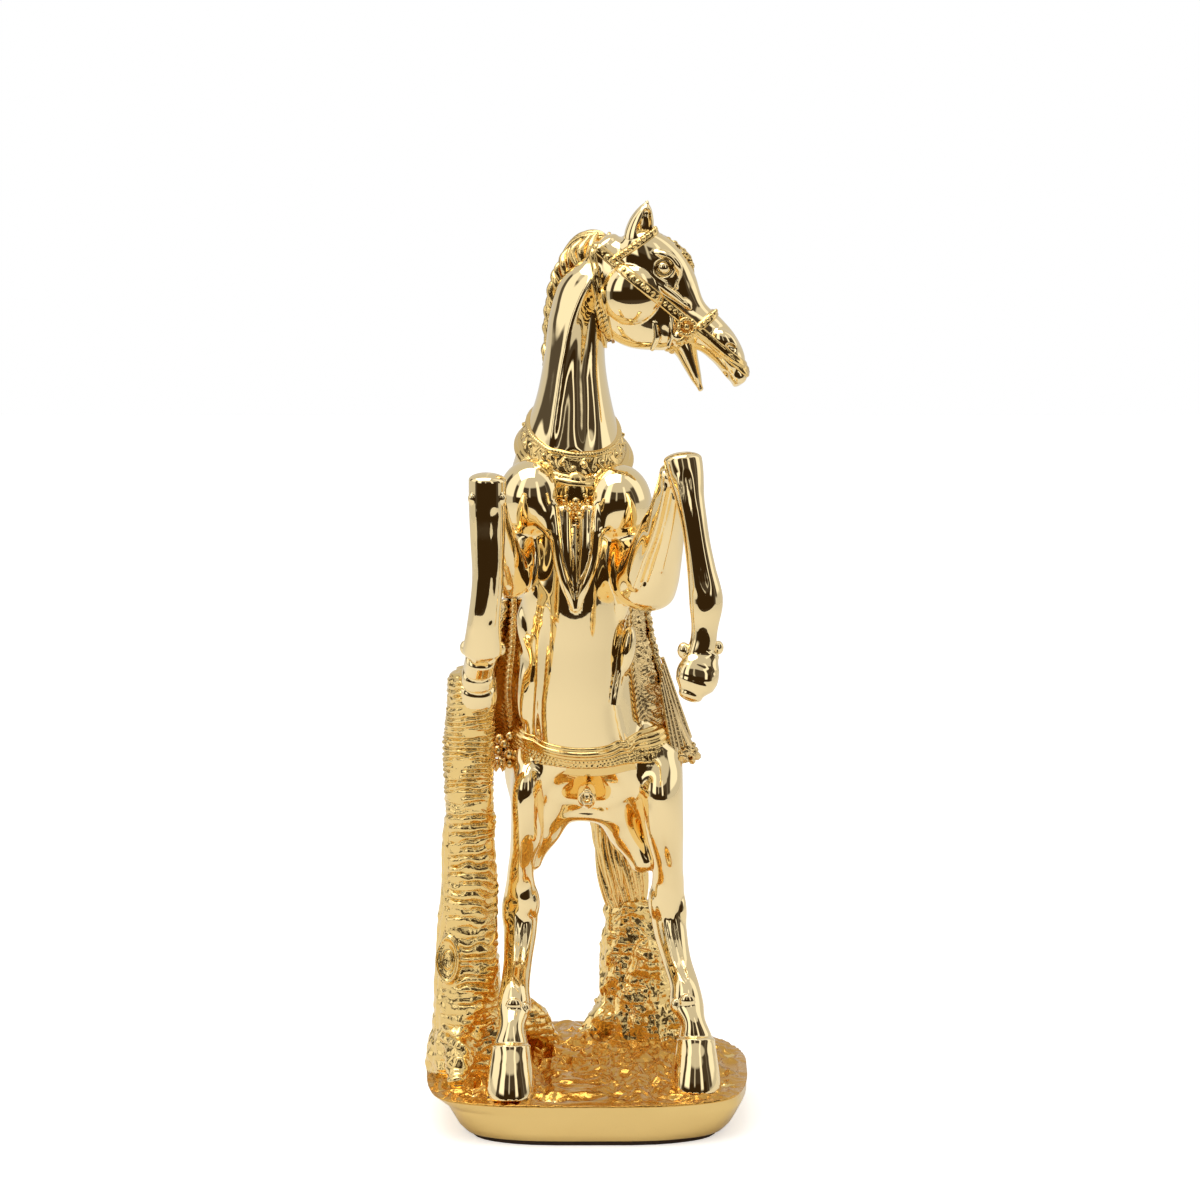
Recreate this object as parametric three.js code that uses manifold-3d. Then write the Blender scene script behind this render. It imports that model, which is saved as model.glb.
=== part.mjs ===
// Rearing horse statue beside a tree trunk on an oval ground base: cast resin pieces, pegged, glued and
// plated. Millimetres, +Z up. The horse faces -Y and turns its head to +X. Heights inside the statue group
// are measured from the ground under the hooves, and the group is raised so that the underside of the felt
// lies at Z = 0.

import * as THREE from "three";
import { mergeVertices } from "three/addons/utils/BufferGeometryUtils.js";
import Module from "manifold-3d";

const wasm = await Module();
wasm.setup();

// Base and its felt
const FELT_THICKNESS = 1.7;
const FELT_INSET = 1.5;
const PLINTH_HEIGHT = 20;
const PLINTH_HALF_WIDTH = 70;
const PLINTH_REAR_DEPTH = 71;
const PLINTH_FRONT_DEPTH = 61.5;
const REAR_OVAL_POWER = 2.25;
const FRONT_OVAL_POWER = 4.2;
const FOOT_INSET = 13.5;
const FRONT_INSET_SHARE = 0.3;
const FOOT_SHIFT = 3.4;
const RIM_DROP = 3;
const GROUND_RISE = 4;
const ROCK_HEIGHT = 2.4;
const ROCK_SPACING = 15;
const GROUND_SINK = 3;

// Fits between the pieces
const GLUE_GAP = 0.3;
const DOWEL_RADIUS = 2.5;
const DOWEL_GRIP = 9;
const DOWEL_CLEARANCE = 0.3;
const ROD_RADIUS = 1.6;
const ROD_IN_PLINTH = 14;
const ROD_IN_BODY = 16;

// Hind legs, from the ground up
const HOOF_HEIGHT = 17;
const FETLOCK_HEIGHT = 31;
const PASTERN_HEIGHT = (FETLOCK_HEIGHT + HOOF_HEIGHT) / 2;
const HOCK_HEIGHT = 68;
const STIFLE_HEIGHT = 116;
const RIGHT_STANCE = -28;
const LEFT_STANCE = 35;
const RIGHT_HOOF_OUT = -3.5;
const LEFT_HOOF_OUT = 11.5;
const RIGHT_HOOF_FORWARD = 46;
const LEFT_HOOF_FORWARD = 36;
const HOOF_HALF_WIDTH = 11;
const CANNON_HALF_WIDTH = 6.2;
const HOCK_HALF_WIDTH = 8;
const THIGH_HALF_WIDTH = 12.5;

// Body
const BODY_MIDDLE = -4;
const PELVIS_FLOOR_HEIGHT = 105;
const BELLY_HEIGHT = 158;
const CHEST_HEIGHT = 238;
const WITHERS_HEIGHT = CHEST_HEIGHT + 28;
const BELLY_HALF_WIDTH = 28.5;
const CHEST_HALF_WIDTH = 29;
const BODY_HALF_DEPTH = 34;
const SHOULDER_RADIUS = 13.5;

// Neck and head
const THROAT_HEIGHT = WITHERS_HEIGHT + 41;
const POLL_HEIGHT = THROAT_HEIGHT + 43;
const NECK_HALF_WIDTH = 13;
const HEAD_LENGTH = 82;
const HEAD_HALF_WIDTH = 14.5;
const JOWL_RADIUS = 12.3;
const EAR_LENGTH = 20;

// Raised forelegs
const KNEE_HEIGHT = CHEST_HEIGHT + 24;
const FORELEG_HALF_WIDTH = 7.4;

// Tree trunk, rear stump and tail
const TRUNK_HEIGHT = CHEST_HEIGHT - 61;
const TRUNK_HALF_WIDTH = 11;
const STUMP_HEIGHT = 60;
const TAIL_HALF_WIDTH = 7.5;

// Tack
const STRAP_THICKNESS = 1.5;
const COLLAR_HALF_WIDTH = 4.2;
const GIRTH_HALF_WIDTH = 4.4;
const BRIDLE_HALF_WIDTH = 2.1;
const CHEEK_STRAP_HALF_WIDTH = 2.9;
const ROLLED_RIM = 1.6;
const BEAD_RADIUS = 2.3;
const FLEECE_THICKNESS = 2.4;
const CLOTH_THICKNESS = 1.8;
const CLOTH_TOP = CHEST_HEIGHT - 30;
const CLOTH_BOTTOM = BELLY_HEIGHT - 28;
const FLEECE_FLARE = 6;
const CLOTH_FLARE = 11;
const CLOTH_PLEATS = 9;

const mirrorGold = new THREE.MeshStandardMaterial({ color: "#f3d693", roughness: 0.08, metalness: 1 });
const roughGold = new THREE.MeshStandardMaterial({ color: "#e0b45f", roughness: 0.32, metalness: 1 });
const clothGold = new THREE.MeshStandardMaterial({ color: "#e6cb8c", roughness: 0.36, metalness: 1 });
const trimGold = new THREE.MeshStandardMaterial({ color: "#ecc878", roughness: 0.18, metalness: 1 });
const felt = new THREE.MeshStandardMaterial({ color: "#2e241a", roughness: 1, metalness: 0 });
const steel = new THREE.MeshStandardMaterial({ color: "#8d8f92", roughness: 0.4, metalness: 1 });
const wood = new THREE.MeshStandardMaterial({ color: "#c9a877", roughness: 0.8, metalness: 0 });

const vector = (x, y, z) => new THREE.Vector3(x, y, z);
const acrossX = vector(1, 0, 0);
const acrossY = vector(0, 1, 0);

// One section of a loft: its centre, its half width and its half depth.
function station(x, y, z, halfWidth, halfDepth) {
  return [x, y, z, halfWidth, halfDepth];
}

// The numbers of the stations, carried by a Catmull-Rom spline to a share from 0 to 1 of the way along.
function between(stations, share) {
  const place = Math.min(Math.max(share, 0), 1 - 1e-9) * (stations.length - 1);
  const i = Math.floor(place);
  const t = place - i;
  const pick = (k) => stations[Math.max(0, Math.min(stations.length - 1, k))];
  return stations[i].map((_, n) => {
    const [a, b, c, d] = [pick(i - 1)[n], pick(i)[n], pick(i + 1)[n], pick(i + 2)[n]];
    return b + 0.5 * t * (c - a + t * (2 * a - 5 * b + 4 * c - d + t * (3 * (b - c) + d - a)));
  });
}

// The centre, axes and half sizes of the section at a share of the way along.
function sectionAt(stations, share, across) {
  const [x, y, z, halfWidth, halfDepth] = between(stations, share);
  const before = vector(...between(stations, share - 1e-3));
  const along = vector(...between(stations, share + 1e-3)).sub(before).normalize();
  const width = across.clone().addScaledVector(along, -across.dot(along)).normalize();
  const depth = vector(0, 0, 0).crossVectors(along, width);
  return { at: vector(x, y, z), along, width, depth, halfWidth, halfDepth };
}

// A closed skin through oval sections. An end closes with a dome, or flat where its dome length is 0. All
// of it grows by the allowance. The relief is a share of the section's size, by the share along the path
// and the angle.
function loft(stations, options = {}) {
  const { sides = 14, steps = 1, across = acrossX, domes = [0.6, 0.6] } = options;
  const { grow = 0, power = 2, relief } = options;
  const DOME_RINGS = 2;
  const rings = [];
  for (let k = DOME_RINGS; domes[0] > 0 && k > 0; k--) {
    const angle = (k / (DOME_RINGS + 1)) * (Math.PI / 2);
    rings.push({ share: 0, shrink: Math.cos(angle), push: -domes[0] * Math.sin(angle) });
  }
  const count = (stations.length - 1) * steps;
  const flat = domes.map((length) => (length > 0 ? 0 : grow));
  for (let k = 0; k <= count; k++) {
    const slide = k === 0 ? -flat[0] : k === count ? flat[1] : 0;
    rings.push({ share: k / count, shrink: 1, push: 0, slide });
  }
  for (let k = 1; domes[1] > 0 && k <= DOME_RINGS; k++) {
    const angle = (k / (DOME_RINGS + 1)) * (Math.PI / 2);
    rings.push({ share: 1, shrink: Math.cos(angle), push: domes[1] * Math.sin(angle) });
  }
  const points = [];
  const round = (value) => Math.sign(value) * Math.abs(value) ** (2 / power);
  for (const { share, shrink, push, slide = 0 } of rings) {
    const s = sectionAt(stations, share, across);
    const reach = Math.min(s.halfWidth, s.halfDepth) + grow;
    for (let n = 0; n < sides; n++) {
      const angle = (n / sides) * 2 * Math.PI;
      const lift = relief ? 1 + relief(share, angle) : 1;
      const a = (s.halfWidth * lift + grow) * shrink * round(Math.cos(angle));
      const b = (s.halfDepth * lift + grow) * shrink * round(Math.sin(angle));
      const forward = push * reach + slide;
      const point = s.at.clone().addScaledVector(s.width, a).addScaledVector(s.depth, b);
      points.push(point.addScaledVector(s.along, forward));
    }
  }
  for (const [share, length, sign] of [[0, domes[0], -1], [1, domes[1], 1]]) {
    const s = sectionAt(stations, share, across);
    const reach = length > 0 ? length * (Math.min(s.halfWidth, s.halfDepth) + grow) : grow;
    points.push(s.at.clone().addScaledVector(s.along, sign * reach));
  }
  const faces = [];
  for (let r = 0; r < rings.length - 1; r++) {
    for (let n = 0; n < sides; n++) {
      const [a, b] = [r * sides + n, r * sides + ((n + 1) % sides)];
      faces.push(a, b, b + sides, a, b + sides, a + sides);
    }
  }
  const poles = rings.length * sides;
  const last = poles - sides;
  for (let n = 0; n < sides; n++) {
    faces.push(poles, (n + 1) % sides, n, poles + 1, last + n, last + ((n + 1) % sides));
  }
  return new THREE.BufferGeometry().setFromPoints(points).setIndex(faces);
}

function ball(x, y, z, halfX, halfY, halfZ, grow = 0, around = 14, rings = 8) {
  return new THREE.SphereGeometry(1, around, rings)
    .scale(halfX + grow, halfY + grow, halfZ + grow)
    .translate(x, y, z);
}

// Closed geometry as a solid, with its faces turned to point outwards.
function solid(geometry) {
  const bare = geometry.clone();
  bare.deleteAttribute("normal");
  bare.deleteAttribute("uv");
  const merged = mergeVertices(bare, 1e-4);
  const vertProperties = Float32Array.from(merged.attributes.position.array);
  const made = (triVerts) => new wasm.Manifold(new wasm.Mesh({ numProp: 3, vertProperties, triVerts }));
  const first = made(Uint32Array.from(merged.index.array));
  return first.volume() > 0 ? first : made(Uint32Array.from(merged.index.array).reverse());
}

const asSolid = (shape) => (shape.isBufferGeometry ? solid(shape) : shape);
const joined = (...shapes) => shapes.map(asSolid).reduce((a, b) => a.add(b));
const cut = (body, ...tools) => tools.map(asSolid).reduce((a, b) => a.subtract(b), asSolid(body));

// The largest body of a solid, because a cut that runs out at a feathered edge can leave crumbs.
function largest(body) {
  return body.decompose().sort((a, b) => b.volume() - a.volume())[0];
}

// A shape worked out once for each allowance that it is asked for.
function kept(shape) {
  const made = new Map();
  return (grow = 0) => {
    if (!made.has(grow)) {
      made.set(grow, asSolid(shape(grow)));
    }
    return made.get(grow);
  };
}

// A round peg from one point towards another.
function peg(from, towards, length, radius) {
  const along = towards.clone().sub(from).normalize();
  const turn = new THREE.Quaternion().setFromUnitVectors(vector(0, 1, 0), along);
  const middle = from.clone().addScaledVector(along, length / 2);
  return new THREE.CylinderGeometry(radius, radius, length, 12).applyQuaternion(turn).translate(...middle);
}

// A dowel centred on a seam, and the hole for it, which is longer and wider by the clearance.
function dowelAt(seam, direction, radius = DOWEL_RADIUS, grip = DOWEL_GRIP) {
  const along = direction.clone().normalize();
  const start = (extra) => seam.clone().addScaledVector(along, -grip - extra);
  const made = (extra) => peg(start(extra), seam.clone().add(along), 2 * (grip + extra), radius + extra);
  return { pin: solid(made(0)), hole: solid(made(DOWEL_CLEARANCE)) };
}

// Flat layer of a given half thickness through a point, square to a normal.
function layer(point, normal, halfThickness) {
  const REACH = 400;
  const turn = new THREE.Quaternion().setFromUnitVectors(vector(0, 0, 1), normal.clone().normalize());
  return solid(
    new THREE.BoxGeometry(REACH, REACH, 2 * halfThickness).applyQuaternion(turn).translate(...point),
  );
}

// A strap that follows the body under it: the shell between two allowances, within a flat layer.
function strap(body, point, normal, halfWidth, thickness = STRAP_THICKNESS) {
  return cut(body(GLUE_GAP + thickness), body(GLUE_GAP)).intersect(layer(point, normal, halfWidth));
}

// Hind legs

function hindLeg(stance, hoofOut, forward, thigh, groinAt) {
  const hoofX = stance + hoofOut;
  const out = (share) => stance + hoofOut * share;
  const thighX = stance * 0.82 + 1.5;
  const stations = [
    station(thighX, 0, STIFLE_HEIGHT + 17, THIGH_HALF_WIDTH * 0.85 * thigh, 15),
    station(thighX, -9, STIFLE_HEIGHT + 3, THIGH_HALF_WIDTH * thigh, 17),
    station(stance * 0.96, -10, STIFLE_HEIGHT - 16, THIGH_HALF_WIDTH * 0.86 * thigh, 13),
    station(stance, -4, HOCK_HEIGHT + 16, 7, 9.2),
    station(stance, 1, HOCK_HEIGHT, HOCK_HALF_WIDTH, 9.4),
    station(out(0.1), -2, HOCK_HEIGHT - 11, HOCK_HALF_WIDTH - 0.7, 7.2),
    station(out(0.35), -forward * 0.27, HOCK_HEIGHT - 23, CANNON_HALF_WIDTH, 5.8),
    station(out(0.6), -forward * 0.52, FETLOCK_HEIGHT + 6, CANNON_HALF_WIDTH, 5.8),
    station(out(0.7), -forward * 0.64, FETLOCK_HEIGHT - 2, CANNON_HALF_WIDTH + 0.9, 6.8),
    station(out(0.88), -forward * 0.78, PASTERN_HEIGHT, CANNON_HALF_WIDTH - 0.8, 5.6),
    station(hoofX, -forward + 6, HOOF_HEIGHT, 7.4, 7),
  ];
  const hamstring = [
    station(stance * 0.62 + 1, 18, STIFLE_HEIGHT + 2, THIGH_HALF_WIDTH, 12),
    station(stance * 0.82, 16, STIFLE_HEIGHT - 15, THIGH_HALF_WIDTH * 0.72, 10),
    station(stance, 10.5, HOCK_HEIGHT + 16, 4.8, 6.4),
    station(stance, 8.5, HOCK_HEIGHT + 4, 3.6, 4.4),
  ];
  const hoof = [
    station(hoofX, -forward - 0.4, -GROUND_SINK, HOOF_HALF_WIDTH, HOOF_HALF_WIDTH + 0.8),
    station(hoofX, -forward + 2.6, HOOF_HEIGHT * 0.55, HOOF_HALF_WIDTH - 1.6, HOOF_HALF_WIDTH - 1),
    station(hoofX, -forward + 5, HOOF_HEIGHT - 1, HOOF_HALF_WIDTH - 2.7, HOOF_HALF_WIDTH - 2.4),
  ];
  const groin = [
    station(groinAt[0], 0, STIFLE_HEIGHT + 2, 11, 14),
    station(groinAt[1], 1, STIFLE_HEIGHT - 15, 8.5, 10),
    station(groinAt[2], 1, STIFLE_HEIGHT - 29, 6.5, 7.5),
  ];
  const shape = kept((grow) => {
    return joined(
      loft(stations, { sides: 10, domes: [0.5, 0.2], grow }),
      loft(groin, { sides: 8, domes: [0.5, 0.8], grow }),
      loft(hamstring, { sides: 8, domes: [0.6, 0.8], grow }),
      ball(out(0.7), 5 - forward * 0.64, FETLOCK_HEIGHT - 3, 4, 4, 5, grow, 6, 5),
      loft(hoof, { sides: 12, domes: [0, 0.25], grow }),
    );
  });
  const inner = stations.slice(0, -1).reverse().map(([x, y, z]) => vector(x, y, z));
  const rodPoints = [vector(hoofX, -forward + 7, 0), ...inner];
  const top = inner[inner.length - 1].clone().add(vector(-stance * 0.1, 4, ROD_IN_BODY));
  const rod = (extra) => {
    const foot = rodPoints[0].clone().setZ(-ROD_IN_PLINTH - extra);
    const path = new THREE.CatmullRomCurve3([foot, ...rodPoints, top.clone().add(vector(0, 0, extra))]);
    const section = new THREE.Shape().absarc(0, 0, ROD_RADIUS + extra, 0, 2 * Math.PI);
    const settings = { curveSegments: 3, steps: 12, bevelEnabled: false, extrudePath: path };
    return new THREE.ExtrudeGeometry(section, settings);
  };
  return { shape, rod: solid(rod(0)), rodHole: solid(rod(DOWEL_CLEARANCE)) };
}

const rightHind = hindLeg(RIGHT_STANCE, RIGHT_HOOF_OUT, RIGHT_HOOF_FORWARD, 0.92, [-12.5, -19.5, -24.5]);
const leftHind = hindLeg(LEFT_STANCE, LEFT_HOOF_OUT, LEFT_HOOF_FORWARD, 1, [12, 18, 25]);

// Forelegs: upper arm, forearm raised to the knee, and cannon, fetlock and hoof hanging from it

function foreleg(limb) {
  return kept((grow) =>
    joined(
      loft(limb.arm, { sides: 10, grow, domes: [0.7, 0.8] }),
      loft(limb.forearm, { sides: 10, grow, domes: [0.8, 0.5] }),
      loft(limb.cannon, { sides: 10, grow, domes: [0.45, 0.6], power: 2.4 }),
      loft(limb.hoof, { sides: 10, grow, domes: limb.hoofDomes }),
      ...limb.knobs.map(([x, y, z, r]) => ball(x, y, z, r, r, r * 1.3, grow, 6, 5)),
    ),
  );
}

const RIGHT_KNEE = vector(-39.5, -66, KNEE_HEIGHT - 8);
const rightFore = foreleg({
  arm: [
    station(-26, -6, CHEST_HEIGHT + 5, 14, 15),
    station(-29, -18, CHEST_HEIGHT - 11, 11, 12),
    station(-32, -30, CHEST_HEIGHT - 25, 8.5, 9.5),
  ],
  forearm: [
    station(-32, -29, CHEST_HEIGHT - 24, 8.5, 9.5),
    station(-34.5, -42, CHEST_HEIGHT - 12, 8, 9),
    station(-37.5, -55, CHEST_HEIGHT + 3, 7, 7.5),
    station(RIGHT_KNEE.x, RIGHT_KNEE.y + 3, RIGHT_KNEE.z - 3, 7, 7.5),
  ],
  cannon: [
    station(RIGHT_KNEE.x, RIGHT_KNEE.y, RIGHT_KNEE.z + 5, FORELEG_HALF_WIDTH + 0.4, 7.8),
    station(RIGHT_KNEE.x, RIGHT_KNEE.y - 1, RIGHT_KNEE.z - 12, FORELEG_HALF_WIDTH + 0.1, 7),
    station(RIGHT_KNEE.x, RIGHT_KNEE.y + 2, RIGHT_KNEE.z - 32, FORELEG_HALF_WIDTH - 0.9, 5.8),
    station(RIGHT_KNEE.x - 2, RIGHT_KNEE.y + 6, RIGHT_KNEE.z - 56, FORELEG_HALF_WIDTH - 0.4, 6.2),
    station(RIGHT_KNEE.x - 2.6, RIGHT_KNEE.y + 8, RIGHT_KNEE.z - 66, FORELEG_HALF_WIDTH + 0.5, 7.2),
  ],
  hoof: [
    station(-43, -54, TRUNK_HEIGHT + 7, 6.4, 6.4),
    station(-44.2, -48, TRUNK_HEIGHT + 1, 6.4, 6.4),
    station(-44.6, -43, TRUNK_HEIGHT - 4, 7.4, 8),
    station(-44.8, -38, TRUNK_HEIGHT - 10, 8.4, 9.4),
  ],
  hoofDomes: [0.4, 0],
  knobs: [
    [-49, -57, TRUNK_HEIGHT + 12, 2.4],
    [-35, -57, TRUNK_HEIGHT + 11.5, 2.4],
  ],
});

const LEFT_KNEE = vector(39.5, -62, KNEE_HEIGHT + 2);
const leftFore = foreleg({
  arm: [
    station(15, -8, CHEST_HEIGHT + 4, 13, 14),
    station(20, -20, CHEST_HEIGHT - 12, 12, 12),
    station(24, -32, CHEST_HEIGHT - 26, 13, 12.5),
  ],
  forearm: [
    station(25, -33, CHEST_HEIGHT - 27, 13, 12),
    station(29, -43, CHEST_HEIGHT - 12, 11, 11),
    station(33, -52, CHEST_HEIGHT + 5, 8, 9),
    station(LEFT_KNEE.x - 4, LEFT_KNEE.y + 3, LEFT_KNEE.z - 3, 5.4, 6.4),
  ],
  cannon: [
    station(LEFT_KNEE.x, LEFT_KNEE.y, LEFT_KNEE.z + 3, 8, 7.4),
    station(LEFT_KNEE.x + 3, LEFT_KNEE.y - 4, LEFT_KNEE.z - 13, 5.9, 6.4),
    station(LEFT_KNEE.x + 7.5, LEFT_KNEE.y - 8, LEFT_KNEE.z - 40, 5.7, 5.4),
    station(LEFT_KNEE.x + 9.4, LEFT_KNEE.y - 9, LEFT_KNEE.z - 54, 6.8, 6.2),
    station(LEFT_KNEE.x + 8.6, LEFT_KNEE.y - 9, LEFT_KNEE.z - 68, 5.4, 5.2),
    station(LEFT_KNEE.x + 7.4, LEFT_KNEE.y - 9, LEFT_KNEE.z - 75, 6, 5.6),
  ],
  hoof: [
    station(49, -71, LEFT_KNEE.z - 75, 5.6, 5.4),
    station(46.5, -72.5, LEFT_KNEE.z - 81, 8.6, 7.6),
    station(44.4, -74, LEFT_KNEE.z - 87, 8.4, 8),
    station(42.6, -75.5, LEFT_KNEE.z - 91.5, 5, 5.4),
  ],
  hoofDomes: [0.4, 0.5],
  knobs: [
    [40, -70, LEFT_KNEE.z - 74, 2.6],
    [54, -69, LEFT_KNEE.z - 73, 2.2],
  ],
});

// Body: one skin from the pelvis up to the poll, which the seam under the collar parts into torso and neck

const spine = [
  station(3, 3, PELVIS_FLOOR_HEIGHT + 4, 22, 13),
  station(3, 5, PELVIS_FLOOR_HEIGHT + 14, 30, 24),
  station(0, 5, PELVIS_FLOOR_HEIGHT + 29, 29, 31),
  station(BODY_MIDDLE, 2, BELLY_HEIGHT, BELLY_HALF_WIDTH, BODY_HALF_DEPTH),
  station(BODY_MIDDLE - 0.5, 1, BELLY_HEIGHT + 25, BELLY_HALF_WIDTH - 2.5, BODY_HALF_DEPTH + 0.5),
  station(BODY_MIDDLE - 0.5, 0, CHEST_HEIGHT - 33, 25.5, BODY_HALF_DEPTH),
  station(BODY_MIDDLE - 0.5, 0, CHEST_HEIGHT - 14, 27.5, BODY_HALF_DEPTH - 1.5),
  station(BODY_MIDDLE - 1, 0, CHEST_HEIGHT + 5, CHEST_HALF_WIDTH, BODY_HALF_DEPTH - 3.5),
  station(BODY_MIDDLE - 1.5, 1, WITHERS_HEIGHT - 11, CHEST_HALF_WIDTH - 3, BODY_HALF_DEPTH - 6),
  station(BODY_MIDDLE - 2, 1, WITHERS_HEIGHT + 2, CHEST_HALF_WIDTH - 7.5, BODY_HALF_DEPTH - 9.5),
  station(BODY_MIDDLE - 1.2, 1, WITHERS_HEIGHT + 19, NECK_HALF_WIDTH + 3, 20),
  station(BODY_MIDDLE - 0.6, 2, THROAT_HEIGHT - 2, NECK_HALF_WIDTH - 0.4, 17),
  station(BODY_MIDDLE + 1.2, 2.5, THROAT_HEIGHT + 16, NECK_HALF_WIDTH - 1, 16),
  station(2, 2, POLL_HEIGHT - 12, NECK_HALF_WIDTH - 2, 13.5),
  station(7, 0, POLL_HEIGHT - 4, 7.5, 9),
];
const spineShape = kept((grow) => loft(spine, { sides: 16, grow, domes: [0.4, 0.5], power: 2.15 }));
const shoulderBalls = kept((grow) => {
  const r = SHOULDER_RADIUS;
  return joined(
    ball(BODY_MIDDLE - 18, -23, CHEST_HEIGHT + 6.5, r, r + 1, r + 1, grow, 10, 6),
    ball(BODY_MIDDLE + 17, -23, CHEST_HEIGHT + 5, r, r + 1, r + 1, grow, 10, 6),
  );
});

const torsoShape = kept((grow) => {
  const breastColumns = [-1, 1].map((side) =>
    loft(
      [
        station(BODY_MIDDLE + 4.6 * side, -29, CHEST_HEIGHT + 6, 4.6, 5.5),
        station(BODY_MIDDLE + 4.2 * side, -31, CHEST_HEIGHT - 10, 4.4, 5.5),
        station(BODY_MIDDLE + 2.6 * side, -32, CHEST_HEIGHT - 24, 3.2, 4.4),
        station(BODY_MIDDLE + 0.8 * side, -32.5, CHEST_HEIGHT - 34, 1.6, 2.6),
      ],
      { sides: 6, grow, domes: [0.5, 0.8] },
    ),
  );
  const haunches = [-19, 25].map((x) => ball(x, 6, STIFLE_HEIGHT + 15, 15, 24, 24, grow, 10, 6));
  const ribs = ball(BODY_MIDDLE - 15.5, -20, CHEST_HEIGHT - 33, 5.8, 9, 14, grow, 6, 5);
  const sheath = ball(0, -22, STIFLE_HEIGHT + 3, 5, 8, 7.5, grow, 6, 5);
  return joined(spineShape(grow), shoulderBalls(grow), ...breastColumns, ...haunches, ribs, sheath);
});

// Head: stations run from the nape down the skull to the nose, along an axis that points forward and down.

const HEAD_PITCH = THREE.MathUtils.degToRad(48.7);
const nape = vector(5, -1, POLL_HEIGHT - 1);
const headAlong = vector(Math.cos(HEAD_PITCH), 0, -Math.sin(HEAD_PITCH));
const headUp = vector(Math.sin(HEAD_PITCH), 0, Math.cos(HEAD_PITCH));

// A point of the head: how far along from the nape, above the axis and to the horse's left.
function onHead(along, above, left = 0) {
  return nape
    .clone()
    .addScaledVector(headAlong, along)
    .addScaledVector(headUp, above)
    .add(vector(0, left - 0.14 * along, 0));
}

const headStation = (along, above, halfWidth, halfHeight) =>
  station(...onHead(along, above), halfWidth, halfHeight);
const skull = [
  headStation(HEAD_LENGTH * 0.03, 0.9, 9, 9),
  headStation(HEAD_LENGTH * 0.15, 1.9, 12.5, 19),
  headStation(HEAD_LENGTH * 0.3, 2.6, HEAD_HALF_WIDTH - 1, 23.5),
  headStation(HEAD_LENGTH * 0.45, 3, HEAD_HALF_WIDTH - 2.5, 20.5),
  headStation(HEAD_LENGTH * 0.58, 6, 9.8, 14),
  headStation(HEAD_LENGTH * 0.69, 12, 8, 9),
  headStation(HEAD_LENGTH * 0.8, 13.2, 7.8, 7.4),
  headStation(HEAD_LENGTH * 0.9, 11.8, 8, 6.2),
  headStation(HEAD_LENGTH * 0.97, 9.4, 6, 4.2),
];
const jaw = [
  headStation(HEAD_LENGTH * 0.52, -2, 7, 8),
  headStation(HEAD_LENGTH * 0.66, 0.5, 6.2, 5.2),
  headStation(HEAD_LENGTH * 0.75, -2, 4.8, 3.6),
  headStation(HEAD_LENGTH * 0.82, -4.2, 3.4, 2.4),
  headStation(HEAD_LENGTH * 0.88, -6, 1.6, 1.2),
];

const jawShape = kept((grow) => loft(jaw, { sides: 8, across: acrossY, grow, domes: [0.5, 0.7] }));
const headShape = kept((grow) => {
  const sides = [-1, 1].flatMap((side) => [
    ball(...onHead(HEAD_LENGTH * 0.3, -2.1, side * 9), JOWL_RADIUS, 6.5, JOWL_RADIUS, grow, 12, 5),
    ball(...onHead(HEAD_LENGTH * 0.29, 16, side * 9.8), 4.6, 4, 4.2, grow, 8, 5),
    ball(...onHead(HEAD_LENGTH * 0.82, 15, side * 5), 4, 3, 3.6, grow, 6, 5),
  ]);
  const bone = loft(skull, { sides: 14, across: acrossY, grow, domes: [0.5, 0.5], power: 2.15 });
  return joined(bone, ...sides);
});
const nostrils = [-1, 1].map((side) => {
  const at = onHead(HEAD_LENGTH * 0.84, 15, side * 7.8);
  return ball(...at, 2.2, 1.8, 2.2, 0, 6, 4);
});

// Ears: narrow leaf shapes, hollowed towards the front
function earShape(side) {
  const foot = vector(21.5, nape.y - 1.5 + side * 6.5, POLL_HEIGHT - 1);
  const leaf = [
    station(foot.x, foot.y, foot.z - 1, 6, 4.2),
    station(foot.x + 1, foot.y, foot.z + EAR_LENGTH * 0.35, 5.8, 4),
    station(foot.x + 2.8, foot.y, foot.z + EAR_LENGTH * 0.7, 3.8, 2.8),
    station(foot.x + 4.4, foot.y, foot.z + EAR_LENGTH * 0.97, 0.9, 0.9),
  ];
  const hollow = ball(foot.x + 2.6, foot.y + side * 3.4, foot.z + EAR_LENGTH * 0.42, 3.4, 3, 7, 0, 6, 5);
  return kept((grow) => cut(loft(leaf, { sides: 8, grow }), ...(grow ? [] : [hollow])));
}
const rightEar = earShape(-1);
const leftEar = earShape(1);

// Hair: crest, forelock and tail are lofts whose relief twists round them in strands.

function strands(count, depth, twist) {
  return (share, angle) => depth * Math.abs(Math.cos((count / 2) * angle + twist * share)) - depth / 2;
}

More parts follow.
